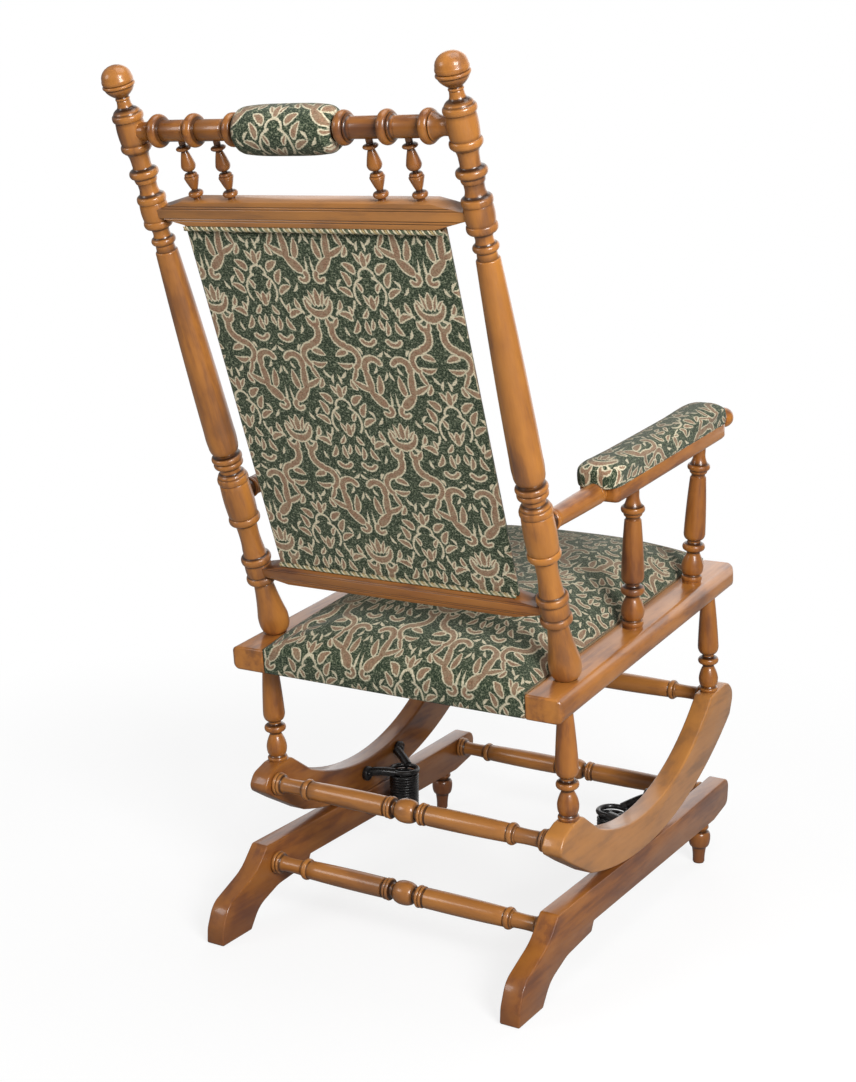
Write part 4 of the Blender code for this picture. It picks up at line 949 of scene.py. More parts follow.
def crestRows(half):
    rod, collar = crestTurning["rod"], crestTurning["collar"]
    rows = line(-0.003, 0.0200) + line(0.0012, 0.0205)
    for i, at in enumerate(crestTurning["collarAt"]):
        z = half - at
        if i == 0:      # a hollow cup against the post
            rows += bow(z - 0.0066, 0.0302, -0.0018)
        else:
            rows += line(z - 0.0128, rod) + line(z - 0.0122, rod - 0.0012) + over(z - 0.0066, 0.0292)
        rows += line(z - 0.0060, 0.0262) + line(z - 0.0056, 0.0280) + bead(z, collar, 0.0108, 0.0286)
        rows += line(z + 0.0058, 0.0262) + line(z + 0.0064, rod - 0.0010) + line(z + 0.0076, rod)
    return rows


crestSpindleTurning = {"segments": 24, "tenon": 0.006}


def crestSpindleRows(length):
    rows = line(-0.001, 0.0086) + line(0.0022, 0.0084) + bead(0.0060, 0.0172, 0.0070, 0.0092)
    rows += line(0.0098, 0.0074)
    rows += line(0.0112, 0.0072) + bow(0.0234, 0.0161, 0.0002) + bead(0.0249, 0.0168, 0.0024, 0.0158)
    rows += line(0.0264, 0.0146) + bead(0.0276, 0.0148, 0.0020, 0.0138) + over(0.0302, 0.0072)
    rows += line(0.0306, 0.0060)
    rows += line(0.0322, 0.0060) + under(0.0386, 0.0166) + bow(length - 0.0106, 0.0074, 0.0003)
    rows += bead(length - 0.0076, 0.0172, 0.0048, 0.0090) + bow(length - 0.0036, 0.0078, -0.0004)
    return rows + line(length + 0.002, 0.0080)


def buildTurnings():
    for side in sides:
        turnPiece(f"back_post_{side}", postRows(), postTurning, "chair")
        turnPiece(f"front_foot_{side}", footRows(), footTurning, "base")
        for end in ("rear", "front"):
            turnPiece(f"support_spindle_{side}_{end}", supportRows(), supportTurning, "chair")
            node = f"arm_spindle_{side}_{end}"
            turnPiece(node, armSpindleRows(turnedLength(node, armSpindleTurning)), armSpindleTurning, "chair")
        for end in ("inner", "outer"):
            node = f"crest_spindle_{side}_{end}"
            rows = crestSpindleRows(turnedLength(node, crestSpindleTurning))
            turnPiece(node, rows, crestSpindleTurning, "chair")
    for node in stretcherTurning["nodes"]:
        length = turnedLength(node, stretcherTurning)
        body = "base" if node.startswith("base") else "chair"
        turnPiece(node, mirrored(stretcherRows(length / 2), length), stretcherTurning, body)
    length = turnedLength("crest_rail", crestTurning)
    turnPiece("crest_rail", mirrored(crestRows(length / 2), length), crestTurning, "chair")
    print("turned pieces done")


buildTurnings()

# Sawn pieces: an outline of rounded corners, filled, extruded and eased along its edges


def roundedOutline(corners):
    points = []
    count = len(corners)
    for i, (a, b, radius) in enumerate(corners):
        here = Vector((a, b))
        back = Vector(corners[i - 1][:2]) - here
        ahead = Vector(corners[(i + 1) % count][:2]) - here
        half = back.angle(ahead) / 2
        if radius == 0 or math.pi / 2 - half < 0.01:
            points.append(here)
            continue
        run = min(radius / math.tan(half), 0.48 * back.length, 0.48 * ahead.length)
        radius = run * math.tan(half)
        middle = here + (back.normalized() + ahead.normalized()).normalized() * radius / math.sin(half)
        start = here + back.normalized() * run - middle
        sweep = math.pi - 2 * half
        if start.to_3d().cross((here - middle).to_3d()).z < 0:
            sweep = -sweep
        steps = max(2, math.ceil(abs(sweep) / math.radians(9)))
        points += [middle + Matrix.Rotation(sweep * k / steps, 2) @ start for k in range(steps + 1)]
    return points


def sawOut(name, outline, thick, ease):
    # outline in the first two axes, its thickness half to each side of the third
    points = [Vector((a, b, -thick / 2)) for a, b in outline]
    piece = fillOut(name, points, (0, 0, thick))
    cleanUp(1e-5)
    easeEdges(piece, ease, 3, 38)
    return piece


sideView = Matrix(((0, 0, 1, 0), (1, 0, 0, 0), (0, 1, 0, 0), (0, 0, 0, 1)))      # outline in Y and Z
layFlat = Matrix(((1, 0, 0, 0), (0, 0, -1, 0), (0, 1, 0, 0), (0, 0, 0, 1)))      # outline in X and Z

baseRail = {
    "thick": 0.026, "ease": 0.0022,
    "top": 0.103, "bottom": 0.058, "frontRise": 0.006,
    "frontY": -0.402, "shoulderY": 0.152, "toeY": 0.252, "sole": 0.062, "archY": 0.053, "levelFrom": -0.2016,
}


def baseRailOutline():
    r = baseRail
    front, top, low, arch, toe = r["frontY"], r["top"], r["bottom"], r["archY"], r["toeY"]
    heel = toe - r["sole"]
    return roundedOutline([
        (front, top + r["frontRise"], 0.016),
        (front + 0.003, low + 0.010, 0.012),
        (front + 0.055, low, 0.030),
        (arch, low, 0.002),
        (arch + 0.006, low - 0.012, 0.004),
        (arch + 0.075, low - 0.017, 0.050),
        (heel - 0.018, 0.026, 0.040),
        (heel, 0.0004, 0.003),
        (toe, 0.0004, 0.003),
        (toe - 0.001, 0.021, 0.030),
        (toe - 0.013, 0.050, 0.030),
        (r["shoulderY"] + 0.026, top - 0.028, 0.060),
        (r["shoulderY"], top, 0.006),
        (r["levelFrom"], top, 0.0),
    ])


rockerPlan = {
    "thick": 0.027, "ease": 0.0026,
    "axisY": -0.084, "axisZ": 0.613247, "radius": 0.509947,
    "waist": 0.048, "hollow": 0.330,
    "frontY": -0.404, "rearY": 0.156,
    "supportDrop": 0.1753,      # flats for the supports, under the top of the seat rails
    "supportsAt": (0.017, -0.430),
    "flat": 0.014,
    "arcSteps": 40,
}


def rockerOutline():
    r = rockerPlan
    middle = r["axisY"]
    rearAt, frontAt = r["supportsAt"]

    def flatPoint(at):
        place = seatFrame @ Vector((0, at, -r["supportDrop"]))
        return place.y, place.z

    def arc(centreZ, radius, fromY, toY):
        found = []
        for i in range(r["arcSteps"] + 1):
            y = fromY + (toY - fromY) * i / r["arcSteps"]
            found.append((y, centreZ - math.sqrt(radius ** 2 - (y - middle) ** 2), 0))
        return found

    hollowZ = r["axisZ"] - r["radius"] + r["waist"] + r["hollow"]
    frontFlat, rearFlat = flatPoint(frontAt + 1.5 * r["flat"]), flatPoint(rearAt - r["flat"])
    hollowFront = middle - math.sqrt(r["hollow"] ** 2 - (hollowZ - frontFlat[1]) ** 2)
    corners = arc(r["axisZ"], r["radius"], r["frontY"] + 0.012, r["rearY"] - 0.092)
    rear, rearEnd = r["rearY"], flatPoint(rearAt + r["flat"])
    low = corners[-1][1]
    corners += [(rear - 0.036, low + 0.0315, 0.060), (rear, low + 0.0536, 0.024)]
    corners += [(rear - 0.012, rearEnd[1] - 0.008, 0.016), (*rearEnd, 0.009), (*rearFlat, 0.014)]
    corners += arc(hollowZ, r["hollow"], rearFlat[0] - 0.045, hollowFront)
    frontEnd = flatPoint(frontAt - 3 * r["flat"])
    corners += [(*frontEnd, 0.028), (r["frontY"], frontEnd[1] - 0.020, 0.030)]
    return roundedOutline(corners)


seatRail = {"wide": 0.050, "high": 0.032, "behind": 0.067, "ahead": 0.484, "round": 0.0122, "ease": 0.0030,
            "rearEnd": 0.0065, "frontEnd": 0.0190}


def buildSeatRail(node, side):
    s = seatRail
    length = s["behind"] + s["ahead"]
    piece = addShape(node + "_shaped", bpy.ops.mesh.primitive_cube_add, size=1,
                     scale=(s["wide"], length, s["high"]))
    weights = piece.data.attributes.new("bevel_weight_edge", "FLOAT", "EDGE")
    for edge in piece.data.edges:
        a, b = (piece.data.vertices[i].co for i in edge.vertices)
        middle = (a + b) / 2
        outer = middle.x * side > 0.4 * s["wide"]
        upright = abs(middle.z) < 0.1 * s["high"]
        width = s["ease"]
        if outer and upright:
            width = s["rearEnd"] if middle.y > 0 else s["frontEnd"]
        elif outer and abs(middle.y) < 0.1 * length:
            width = s["round"]
        weights.data[edge.index].value = width / s["frontEnd"]
    soften = piece.modifiers.new("soften", "BEVEL")
    soften.width = s["frontEnd"]
    soften.segments = 6
    soften.limit_method = "WEIGHT"
    applyAll(piece)
    keepGrain(piece, "Y")
    place = Vector((middleOf(node).x, (s["behind"] - s["ahead"]) / 2, -s["high"] / 2))
    settle(piece, seatFrame @ Matrix.Translation(place), polishedWood, "chair", "wood", node)


backRails = {
    # node: height on the post, height of the board
    "upper_back_rail": {"at": postTurning["upper"], "high": 0.0285},
    "lower_back_rail": {"at": postTurning["lower"], "high": 0.026},
}
backRail = {
    "half": 0.1970, "thick": 0.022, "ease": 0.0009,
    "end": 0.036, "endHigh": 0.013, "endFlat": 0.006, "spare": 0.002,
    "reed": 0.0011, "reedDeep": 0.0009, "reedsAt": (-0.30, -0.205, 0.205, 0.30), "reeded": 0.36,
}


def buildBackRail(node):
    b, high = backRail, backRails[node]["high"]
    face = b["thick"] / 2
    section = []
    for sign in (1, -1):
        section.append((sign * face, -sign * high / 2))
        for at in b["reedsAt"]:      # two pairs of reed lines on each face
            middle = sign * at * high
            section += [(sign * face, middle - sign * b["reed"] / 2), (sign * (face - b["reedDeep"]), middle),
                        (sign * face, middle + sign * b["reed"] / 2)]
        section.append((sign * face, sign * high / 2))
    reach = b["half"] + b["spare"]
    points = [Vector((-reach, depth, up)) for depth, up in section]
    piece = fillOut(node + "_moulded", points, (2 * reach, 0, 0))
    body = b["half"] - b["end"]
    slope = (high - b["endHigh"]) / 2 / (b["end"] - b["endFlat"])
    for across in (1, -1):
        for up in (1, -1):      # the ends are cut down above and below, towards the post
            bpy.ops.mesh.select_all(action="SELECT")
            bpy.ops.mesh.bisect(plane_co=(across * body, 0, up * high / 2), plane_no=(across * slope, 0, up),
                                use_fill=True, clear_outer=True)
    cleanUp(1e-5)
    easeEdges(piece, b["ease"], 2, 50)
    keepGrain(piece, "X")
    store = piece.data.attributes.new("groove", "FLOAT", "POINT")
    for value, vert in zip(store.data, piece.data.vertices):
        if abs(vert.co.z) < b["reeded"] * high:
            value.value = min(1.0, max(0.0, (face - abs(vert.co.y)) / b["reedDeep"]))
    place = Matrix.Translation((0, 0, backRails[node]["at"]))
    settle(piece, backFrame @ place, polishedWood, "chair", "wood", node)


armBoard = {
    "rise": 7.2, "splay": 1.75,      # degrees
    "start": 0.145, "end": 0.481, "wide": 0.054, "thick": 0.0265, "lift": 0.0006,
    "rearRound": 0.008, "frontRound": 0.025, "ease": 0.0055,
    "postHalf": 0.0187, "knobAt": 0.520, "knob": 0.027,
}


def armFrame(side):
    # Z runs forward along the arm, Y is up
    a = armBoard
    rise, splay = math.radians(a["rise"]), math.radians(a["splay"])
    level = math.cos(rise)
    forward = Vector((side * math.sin(splay) * level, -math.cos(splay) * level, math.sin(rise)))
    across = forward.cross(Vector((0, 0, 1))).normalized()
    turn = Matrix((-across, across.cross(forward), forward)).transposed().to_4x4()
    foot, head = axisOf("back_post_left" if side > 0 else "back_post_right")
    up = (head - foot).normalized()
    return Matrix.Translation(foot + up * (postTurning["tenon"] + postTurning["arm"])) @ turn


def armRodRows():
    a = armBoard
    start, board = a["postHalf"], a["start"]
    rows = line(start - 0.004, 0.0150) + line(start + 0.0040, 0.0190)
    rows += bead(start + 0.0088, 0.0266, 0.0060, 0.0215)
    rows += line(start + 0.0124, 0.0204) + line(start + 0.0130, 0.0222) + bow(start + 0.0200, 0.0235, 0.0003)
    rows += bow(board - 0.0125, 0.0269, 0.0002) + line(board - 0.0117, 0.0244)
    rows += bead(board - 0.0084, 0.0271, 0.0046, 0.0248)
    rows += line(board - 0.0054, 0.0238) + bead(board - 0.0028, 0.0262, 0.0036, 0.0240)
    return rows + line(board + 0.0120, 0.0200)


def armKnobRows():
    a = armBoard
    end, low, high = a["end"], a["knobAt"] - a["knob"] / 2, a["knobAt"] + a["knob"] / 2
    rows = line(end - 0.012, 0.0130) + line(end + 0.0045, 0.0130) + bead(end + 0.0105, 0.0198, 0.0064, 0.0142)
    rows += line(end + 0.0150, 0.0124) + bow(low + 0.0006, 0.0128, -0.0008)
    return rows + under(a["knobAt"], a["knob"]) + over(high, 0.0006)


def buildArm(side, sign):
    a = armBoard
    half = a["wide"] / 2
    corners = [(-half, a["start"], a["rearRound"]), (half, a["start"], a["rearRound"])]
    corners += [(half, a["end"], a["frontRound"]), (-half, a["end"], a["frontRound"])]
    board = sawOut("arm_board", roundedOutline(corners), a["thick"], a["ease"])
    pickOnly(board)
    board.matrix_world = Matrix.Translation((0, a["lift"], 0)) @ layFlat
    bpy.ops.object.transform_apply(location=True, rotation=True, scale=True)
    rod = spinProfile("arm_rod", armRodRows(), 32)
    knob = spinProfile("arm_knob", armKnobRows(), 28)
    arm = joinTo(f"arm_{side}_shaped", board, rod, knob)
    keepGrain(arm, "Z")
    settle(arm, armFrame(sign), polishedWood, "chair", "wood", f"arm_{side}")


def buildSawnPieces():
    sawn = {
        "base_rail": ("base", baseRailOutline(), baseRail),
        "rocker": ("chair", rockerOutline(), rockerPlan),
    }
    for side, sign in sides.items():
        for kind, (body, outline, plan) in sawn.items():
            node = f"{kind}_{side}"
            piece = sawOut(node + "_shaped", outline, plan["thick"], plan["ease"])
            keepGrain(piece, "X")
            place = Matrix.Translation((middleOf(node).x, 0, 0))
            settle(piece, place @ sideView, polishedWood, body, "wood", node)
        buildSeatRail(f"seat_rail_{side}", sign)
        buildArm(side, sign)
    for node in backRails:
        buildBackRail(node)
    print("sawn pieces done")


buildSawnPieces()

# Ironwork

spring = {
    "low": 0.063, "high": 0.126, "across": 0.0385, "wire": 0.0040, "turns": 15, "stepsPerTurn": 28,
    "x": 0.1645, "y": -0.132,
}


def buildSpring(side, sign):
    s = spring
    piece = windRound(f"coil_spring_{side}_wound", 12, s["wire"] / 2, s["across"] / 2, s["turns"],
                      s["stepsPerTurn"] * s["turns"], s["high"] - s["low"] - s["wire"])
    bpy.ops.object.mode_set(mode="EDIT")
    bpy.ops.mesh.select_all(action="DESELECT")
    bpy.ops.mesh.select_mode(type="EDGE")
    bpy.ops.mesh.select_non_manifold(extend=False)
    bpy.ops.mesh.edge_face_add()      # closes the ends of the wire
    cleanUp()
    bpy.ops.object.mode_set(mode="EDIT")
    bpy.ops.mesh.select_mode(type="VERT")
    bpy.ops.object.mode_set(mode="OBJECT")
    place = Matrix.Translation((sign * s["x"], s["y"], s["low"] + s["wire"] / 2))
    settle(piece, place, finish["blackIron"], "base", "iron", f"coil_spring_{side}")


def sweepTube(name, points, across):
    # a round bar along a smooth path that the points pull into shape
    bpy.ops.object.select_all(action="DESELECT")
    bpy.ops.curve.primitive_nurbs_path_add(location=(0, 0, 0))
    path = bpy.context.object
    path.name = name
    path.data.splines.clear()
    run = path.data.splines.new("NURBS")
    run.points.add(len(points) - 1)
    for knot, place in zip(run.points, points):
        knot.co = (*place, 1)
    run.use_endpoint_u = True
    run.order_u = 3
    run.resolution_u = 8
    path.data.bevel_depth = across / 2
    path.data.bevel_resolution = 3
    path.data.use_fill_caps = True
    bpy.ops.object.convert(target="MESH")
    piece = bpy.context.object
    bpy.ops.object.mode_set(mode="EDIT")
    cleanUp()
    return piece


bracket = {
    "boss": 0.0205, "bossLong": 0.0075, "bossRim": 0.0016, "wallGap": 0.0004,
    "hug": 75,              # degrees round the ring, from the wall, where an arm meets it
    "armFrom": 0.42,        # how far out on its boss an arm starts
    "bow": 0.004,
    "upper": {"body": "chair", "rear": (0.046, 0.132), "front": (-0.040, 0.145), "ringZ": 0.13005,
              "face": 0.201, "bar": 0.0128, "ring": 0.0072, "bowUp": 0.003},
    "lower": {"body": "base", "rear": (0.040, 0.080), "front": (-0.040, 0.080), "ringZ": 0.0655,
              "face": 0.2005, "bar": 0.0095, "ring": 0.0048, "bowUp": 0.002},
}


def buildBracket(level, side, sign):
    b, plan = bracket, bracket[level]
    centre = Vector((sign * spring["x"], spring["y"], plan["ringZ"]))
    radius = spring["across"] / 2
    pieces = [addShape("bracket_ring", bpy.ops.mesh.primitive_torus_add, location=centre, major_radius=radius,
                       minor_radius=plan["ring"] / 2, major_segments=40, minor_segments=12)]
    for end in ("rear", "front"):
        reach, z = plan[end]
        way = 1 if reach > 0 else -1
        boss = Vector((sign * (plan["face"] - b["bossLong"] / 2), spring["y"] + reach, z))
        disc = addShape("bracket_boss", bpy.ops.mesh.primitive_cylinder_add, vertices=28, radius=b["boss"] / 2,
                        depth=b["bossLong"] - b["wallGap"], location=boss, rotation=(0, math.pi / 2, 0))
        easeEdges(disc, b["bossRim"], 3, 30)
        hug = math.radians(b["hug"]) * way
        touch = centre + Vector((sign * radius * math.cos(hug), radius * math.sin(hug), 0))
        start = boss - Vector((0, way * b["armFrom"] * b["boss"], 0))
        bend = (start + touch) / 2 + Vector((sign * b["bow"], way * b["bow"], plan["bowUp"]))
        pieces += [disc, sweepTube("bracket_arm", [start, bend, touch], plan["bar"])]
    piece = joinTo(f"{level}_spring_bracket_{side}_cast", *pieces)
    settle(piece, Matrix(), finish["blackIron"], plan["body"], "iron", f"{level}_spring_bracket_{side}")


def headPlace(node, sign, high):
    # stands a head on the end of its CAD piece that points to the middle of the chair
    low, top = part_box(node)
    centre = (low + top) / 2
    out = Vector((-sign, 0, 0))
    foot = Vector((low.x if sign > 0 else top.x, centre.y, centre.z)) - out * high
    return standOn(foot, foot + out)


screwHead = {
    "across": 0.0085, "high": 0.003, "slot": 0.0011, "slotDeep": 0.0013, "tip": 0.0006, "segments": 24,
    "under": 0.9, "rim": 0.12,      # as shares of the width and the height
}


def buildScrew(node, body, sign):
    s = screwHead
    rows = line(0.0, s["across"] * s["under"]) + line(s["high"] * s["rim"], s["across"])
    rows += over(s["high"], s["tip"])
    piece = spinProfile(node + "_slotted", rows, s["segments"])
    blade = addShape("screw_slot", bpy.ops.mesh.primitive_cube_add, size=1, location=(0, 0, s["high"]),
                     scale=(s["slot"], 2 * s["across"], 2 * s["slotDeep"]))
    pickOnly(piece)
    slot = piece.modifiers.new("slot", "BOOLEAN")
    slot.object = blade
    slot.solver = "EXACT"
    applyAll(piece)
    bpy.data.objects.remove(blade)
    settle(piece, headPlace(node, sign, s["high"]), finish["blackIron"], body, "iron", node)


tackHead = {
    "across": 0.0080, "under": 0.0078, "rim": 0.0007, "high": 0.0026, "tip": 0.0006, "segments": 24,
    "stand": 0.0024,      # how much of it stands out of the CAD piece
}


def buildTack(node, sign):
    t = tackHead
    rows = line(0.0, t["under"]) + over(t["rim"], t["across"]) + over(t["high"], t["tip"])
    piece = spinProfile(node + "_domed", rows, t["segments"])
    settle(piece, headPlace(node, sign, t["stand"]), finish["tackBrass"], "carrier", "tack", node)


def buildIronwork():
    for side, sign in sides.items():
        buildSpring(side, sign)
        for level in ("upper", "lower"):
            buildBracket(level, side, sign)
            for end in ("rear", "front"):
                buildScrew(f"{level}_screw_{side}_{end}", bracket[level]["body"], sign)
        buildTack(f"arm_tack_{side}", sign)
    print("ironwork done")


buildIronwork()

# Upholstery: a block of even cells is shaped, swollen by a short cloth run and smoothed once


def gridBlock(name, columns, rows, layers):
    # a block of cells, and the column, row and layer of each of its points
    piece = addShape(name, bpy.ops.mesh.primitive_grid_add, x_subdivisions=columns, y_subdivisions=rows, size=2,
                     location=(0, 0, -1))
    bpy.ops.object.mode_set(mode="EDIT")
    bpy.ops.mesh.select_all(action="SELECT")
    for step in range(layers):
        bpy.ops.mesh.extrude_region_move(TRANSFORM_OT_translate={"value": (0, 0, 2 / layers)})
    cleanUp()
    for spare in list(piece.data.uv_layers):
        piece.data.uv_layers.remove(spare)
    lattice = []
    for vert in piece.data.vertices:
        steps = zip(vert.co, (columns, rows, layers))
        lattice.append(tuple(round((value + 1) / 2 * count) for value, count in steps))
    return piece, lattice


def quarter(distance, reach):
    # rounded shoulder: 0 at the edge, 1 from reach inwards
    run = min(1.0, max(0.0, distance / reach))
    return math.sqrt(1 - (1 - run) ** 2)


def crowd(value, power):
    # packs cells towards the edges
    return math.copysign(1 - max(0.0, 1 - abs(value)) ** power, value)


clothFrames = 20


def puff(piece, held, pressure, cap):
    # swells a piece under pressure, and no point moves further than the cap
    pickOnly(piece)
    before = [vert.co.copy() for vert in piece.data.vertices]
    pins = piece.vertex_groups.new(name="held")
    pins.add(held, 1.0, "REPLACE")
    cloth = piece.modifiers.new("puff", "CLOTH")
    cloth.settings.vertex_group_mass = "held"
    cloth.settings.use_pressure = True
    cloth.settings.uniform_pressure_force = pressure
    cloth.settings.effector_weights.gravity = 0
    for moment in range(1, clothFrames + 1):
        bpy.context.scene.frame_set(moment)
    applyAll(piece)
    bpy.context.scene.frame_set(1)
    for vert, start in zip(piece.data.vertices, before):
        move = vert.co - start
        if move.length > cap:
            vert.co = start + move.normalized() * cap
    piece.vertex_groups.clear()


def smoothOnce(piece):
    pickOnly(piece)
    smooth = piece.modifiers.new("smooth", "SUBSURF")
    smooth.levels = smooth.render_levels = 1
    applyAll(piece)


def layCloth(piece, rule):
    # rule gives cloth coordinates in metres for a point of a face
    store = piece.data.uv_layers.new(name="cloth")
    for face in piece.data.polygons:
        for corner in face.loop_indices:
            store.data[corner].uv = rule(piece.data.loops[corner].vertex_index, face)


def unrolled(piece, lattice, columns, rows, layers):
    # lengths over the cloth, from the middle of the top outwards and on down the walls
    at = {spot: vert.co.copy() for spot, vert in zip(lattice, piece.data.vertices)}
    across, along, down = {}, {}, {}

    def measure(store, count, spot):
        for way in (1, -1):
            step, total = count // 2, 0.0
            store[spot(step)] = 0.0
            while 0 <= step + way <= count:
                total += (at[(*spot(step + way), layers)] - at[(*spot(step), layers)]).length
                step += way
                store[spot(step)] = way * total

    for row in range(rows + 1):
        measure(across, columns, lambda col: (col, row))
    for col in range(columns + 1):
        measure(along, rows, lambda row: (col, row))
    for col, row in across:
        if col in (0, columns) or row in (0, rows):
            total = 0.0
            for layer in range(layers, -1, -1):
                if layer < layers:
                    total += (at[col, row, layer] - at[col, row, layer + 1]).length
                down[col, row, layer] = total

    def rule(index, face):
        if index >= len(lattice):
            return None
        col, row, layer = lattice[index]
        u, v = across[col, row], along[col, row]
        spots = [lattice[i] for i in face.vertices if i < len(lattice)]
        drop = down.get((col, row, layer), 0.0)
        if len({spot[0] for spot in spots}) == 1:
            u += math.copysign(drop, u)
        elif len({spot[1] for spot in spots}) == 1:
            v += math.copysign(drop, v)
        return u, v

    return rule


backCover = {
    "half": 0.1693, "low": 0.1138, "high": 0.5717,
    "rear": 0.0045, "rearFull": 0.0012, "rim": 0.0022, "edge": 0.0200, "crown": 0.018, "shoulder": 0.046,
    "drawnIn": 0.001, "crowding": 1.3,
    "columns": 40, "rows": 52, "layers": 4, "pressure": 4.0, "cap": 0.008,
    "patternShift": (-0.0125, -0.300),
}


def buildBackCover():
    b = backCover
    piece = gridBlock("back_cover", b["columns"], b["rows"], b["layers"])[0]
    middle, halfHigh = (b["low"] + b["high"]) / 2, (b["high"] - b["low"]) / 2
    held = []
    for vert in piece.data.vertices:
        a, up, c = vert.co
        if c < -0.99 or abs(a) > 0.99 or abs(up) > 0.99:
            held.append(vert.index)
        a, up = crowd(a, b["crowding"]), crowd(up, b["crowding"])
        dome = (1 - a ** 4) * (1 - up ** 4)
        inward = min(b["half"] * (1 - abs(a)), halfHigh * (1 - abs(up)))
        run = min(1.0, inward / b["shoulder"])
        front = b["rim"] + (b["edge"] - b["rim"]) * run * (2 - run) + b["crown"] * dome
        rear = b["rear"] + b["rearFull"] * dome
        depth = (c + 1) / 2
        side = a * (b["half"] - b["drawnIn"] * (c > 0))
        vert.co = (side, rear - (rear + front) * depth, middle + up * halfHigh)
    puff(piece, held, b["pressure"], b["cap"])

    def rule(index, face):
        point = piece.data.vertices[index].co
        wrap = (b["rear"] - point.y) if abs(face.normal.x) > 0.7 else 0.0
        return point.x + math.copysign(wrap, point.x) + b["patternShift"][0], point.z + b["patternShift"][1]

    layCloth(piece, rule)
    smoothOnce(piece)
    settle(piece, backFrame, damaskCloth, "chair", "damask", "back_panel", "back_pad", angle=60)


seatCover = {
    "half": 0.1866, "rear": 0.0668, "front": -0.4838, "under": 0.0006, "seam": 0.0016,
    "apron": 0.0038, "apronDrop": 0.0316, "apronSteps": 6,
    "bulge": 0.0022, "bulgeLow": 0.009, "bulgeHalf": 0.0240,
    "edge": 0.020, "crown": 0.028, "sideRound": 0.042, "endRound": 0.060, "sideEase": 1.2, "endEase": 1.1,
    "endSpare": 0.002, "sideCrowding": 1.5, "endCrowding": 1.6,
    "columns": 42, "rows": 58, "pressure": 4.0, "cap": 0.006,
    "patternShift": (0.030, 0.345),
}


def buildSeatCover():
    s = seatCover
    piece, lattice = gridBlock("seat_cover", s["columns"], s["rows"], 1)
    middle, halfLong = (s["rear"] + s["front"]) / 2, (s["rear"] - s["front"]) / 2
    lastRow = 1 - 2 / s["rows"]
    for vert in piece.data.vertices:
        a, along, c = vert.co
        side = crowd(a, s["sideCrowding"]) * s["half"]
        inner = abs(along) < lastRow + 0.001
        along = crowd(along / lastRow, s["endCrowding"]) if inner else math.copysign(1, along)
        y = middle + along * (halfLong - s["apron"] if inner else halfLong)
        dome = (1 - (side / s["half"]) ** 4) * (1 - along ** 4)
        lift = quarter(s["half"] - abs(side), s["sideRound"]) ** s["sideEase"]
        lift *= quarter(halfLong - abs(y - middle) + s["endSpare"], s["endRound"]) ** s["endEase"]
        z = s["under"] if c < 0 else s["seam"] + (s["edge"] + s["crown"] * dome) * lift
        vert.co = (side, y, z)
    bpy.ops.object.mode_set(mode="EDIT")
    bpy.ops.mesh.select_all(action="DESELECT")
    bpy.ops.object.mode_set(mode="OBJECT")
    for face in piece.data.polygons:      # the narrow strips under the front and rear edges run down as aprons
        face.select = face.normal.z < -0.9 and abs(face.center.y - middle) > halfLong - s["apron"]
    bpy.ops.object.mode_set(mode="EDIT")
    bpy.ops.mesh.select_mode(type="FACE")
    fall = -(s["apronDrop"] + s["under"]) / s["apronSteps"]
    for step in range(s["apronSteps"]):
        bpy.ops.mesh.extrude_region_move(TRANSFORM_OT_translate={"value": (0, 0, fall)})
    cleanUp()
    for vert in piece.data.vertices:      # the aprons are a little full
        beyond = abs(vert.co.y - middle) - halfLong + 0.0005
        if beyond > 0:
            swell = max(0.0, 1 - ((vert.co.z + s["bulgeLow"]) / s["bulgeHalf"]) ** 2)
            swell *= s["bulge"] * (1 - (vert.co.x / s["half"]) ** 6)
            vert.co.y += math.copysign(swell, vert.co.y - middle)
    low = 2 * s["under"]
    held = [v.index for v in piece.data.vertices if v.co.z < low or abs(v.co.x) > s["half"] - 0.0002]
    flat = unrolled(piece, lattice, s["columns"], s["rows"], 1)
    puff(piece, held, s["pressure"], s["cap"])
    edge = {}
    for index, (col, row, layer) in enumerate(lattice):
        if row in (0, s["rows"]) and layer == 1:
            edge[row > 0, col] = index

    def rule(index, face):
        found = flat(index, face)
        point = piece.data.vertices[index].co
        if found is None or point.z < low:      # on down the aprons
            rear = point.y > middle
            columns = range(s["columns"] + 1)
            col = min(columns, key=lambda i: abs(piece.data.vertices[edge[rear, i]].co.x - point.x))
            v = flat(edge[rear, col], face)[1]
            found = point.x, v + math.copysign(s["seam"] - point.z, v)
        return found[0] + s["patternShift"][0], s["patternShift"][1] - found[1]

    layCloth(piece, rule)
    smoothOnce(piece)
    settle(piece, seatFrame, damaskCloth, "chair", "damask", "seat_pad", angle=60)


armPad = {
    "start": 0.1345, "end": 0.4755, "half": 0.0284, "round": 0.018, "low": 0.0070, "high": 0.0398,
    "sideRound": 0.025, "rearRound": 0.040, "frontRound": 0.040, "wall": 0.014,
    "lip": 0.0012, "wallMiddle": 0.7, "wallFull": 1.04, "sideCrowding": 1.4, "endCrowding": 1.7,
    "columns": 16, "rows": 46, "layers": 2, "pressure": 4.0, "cap": 0.003,
}


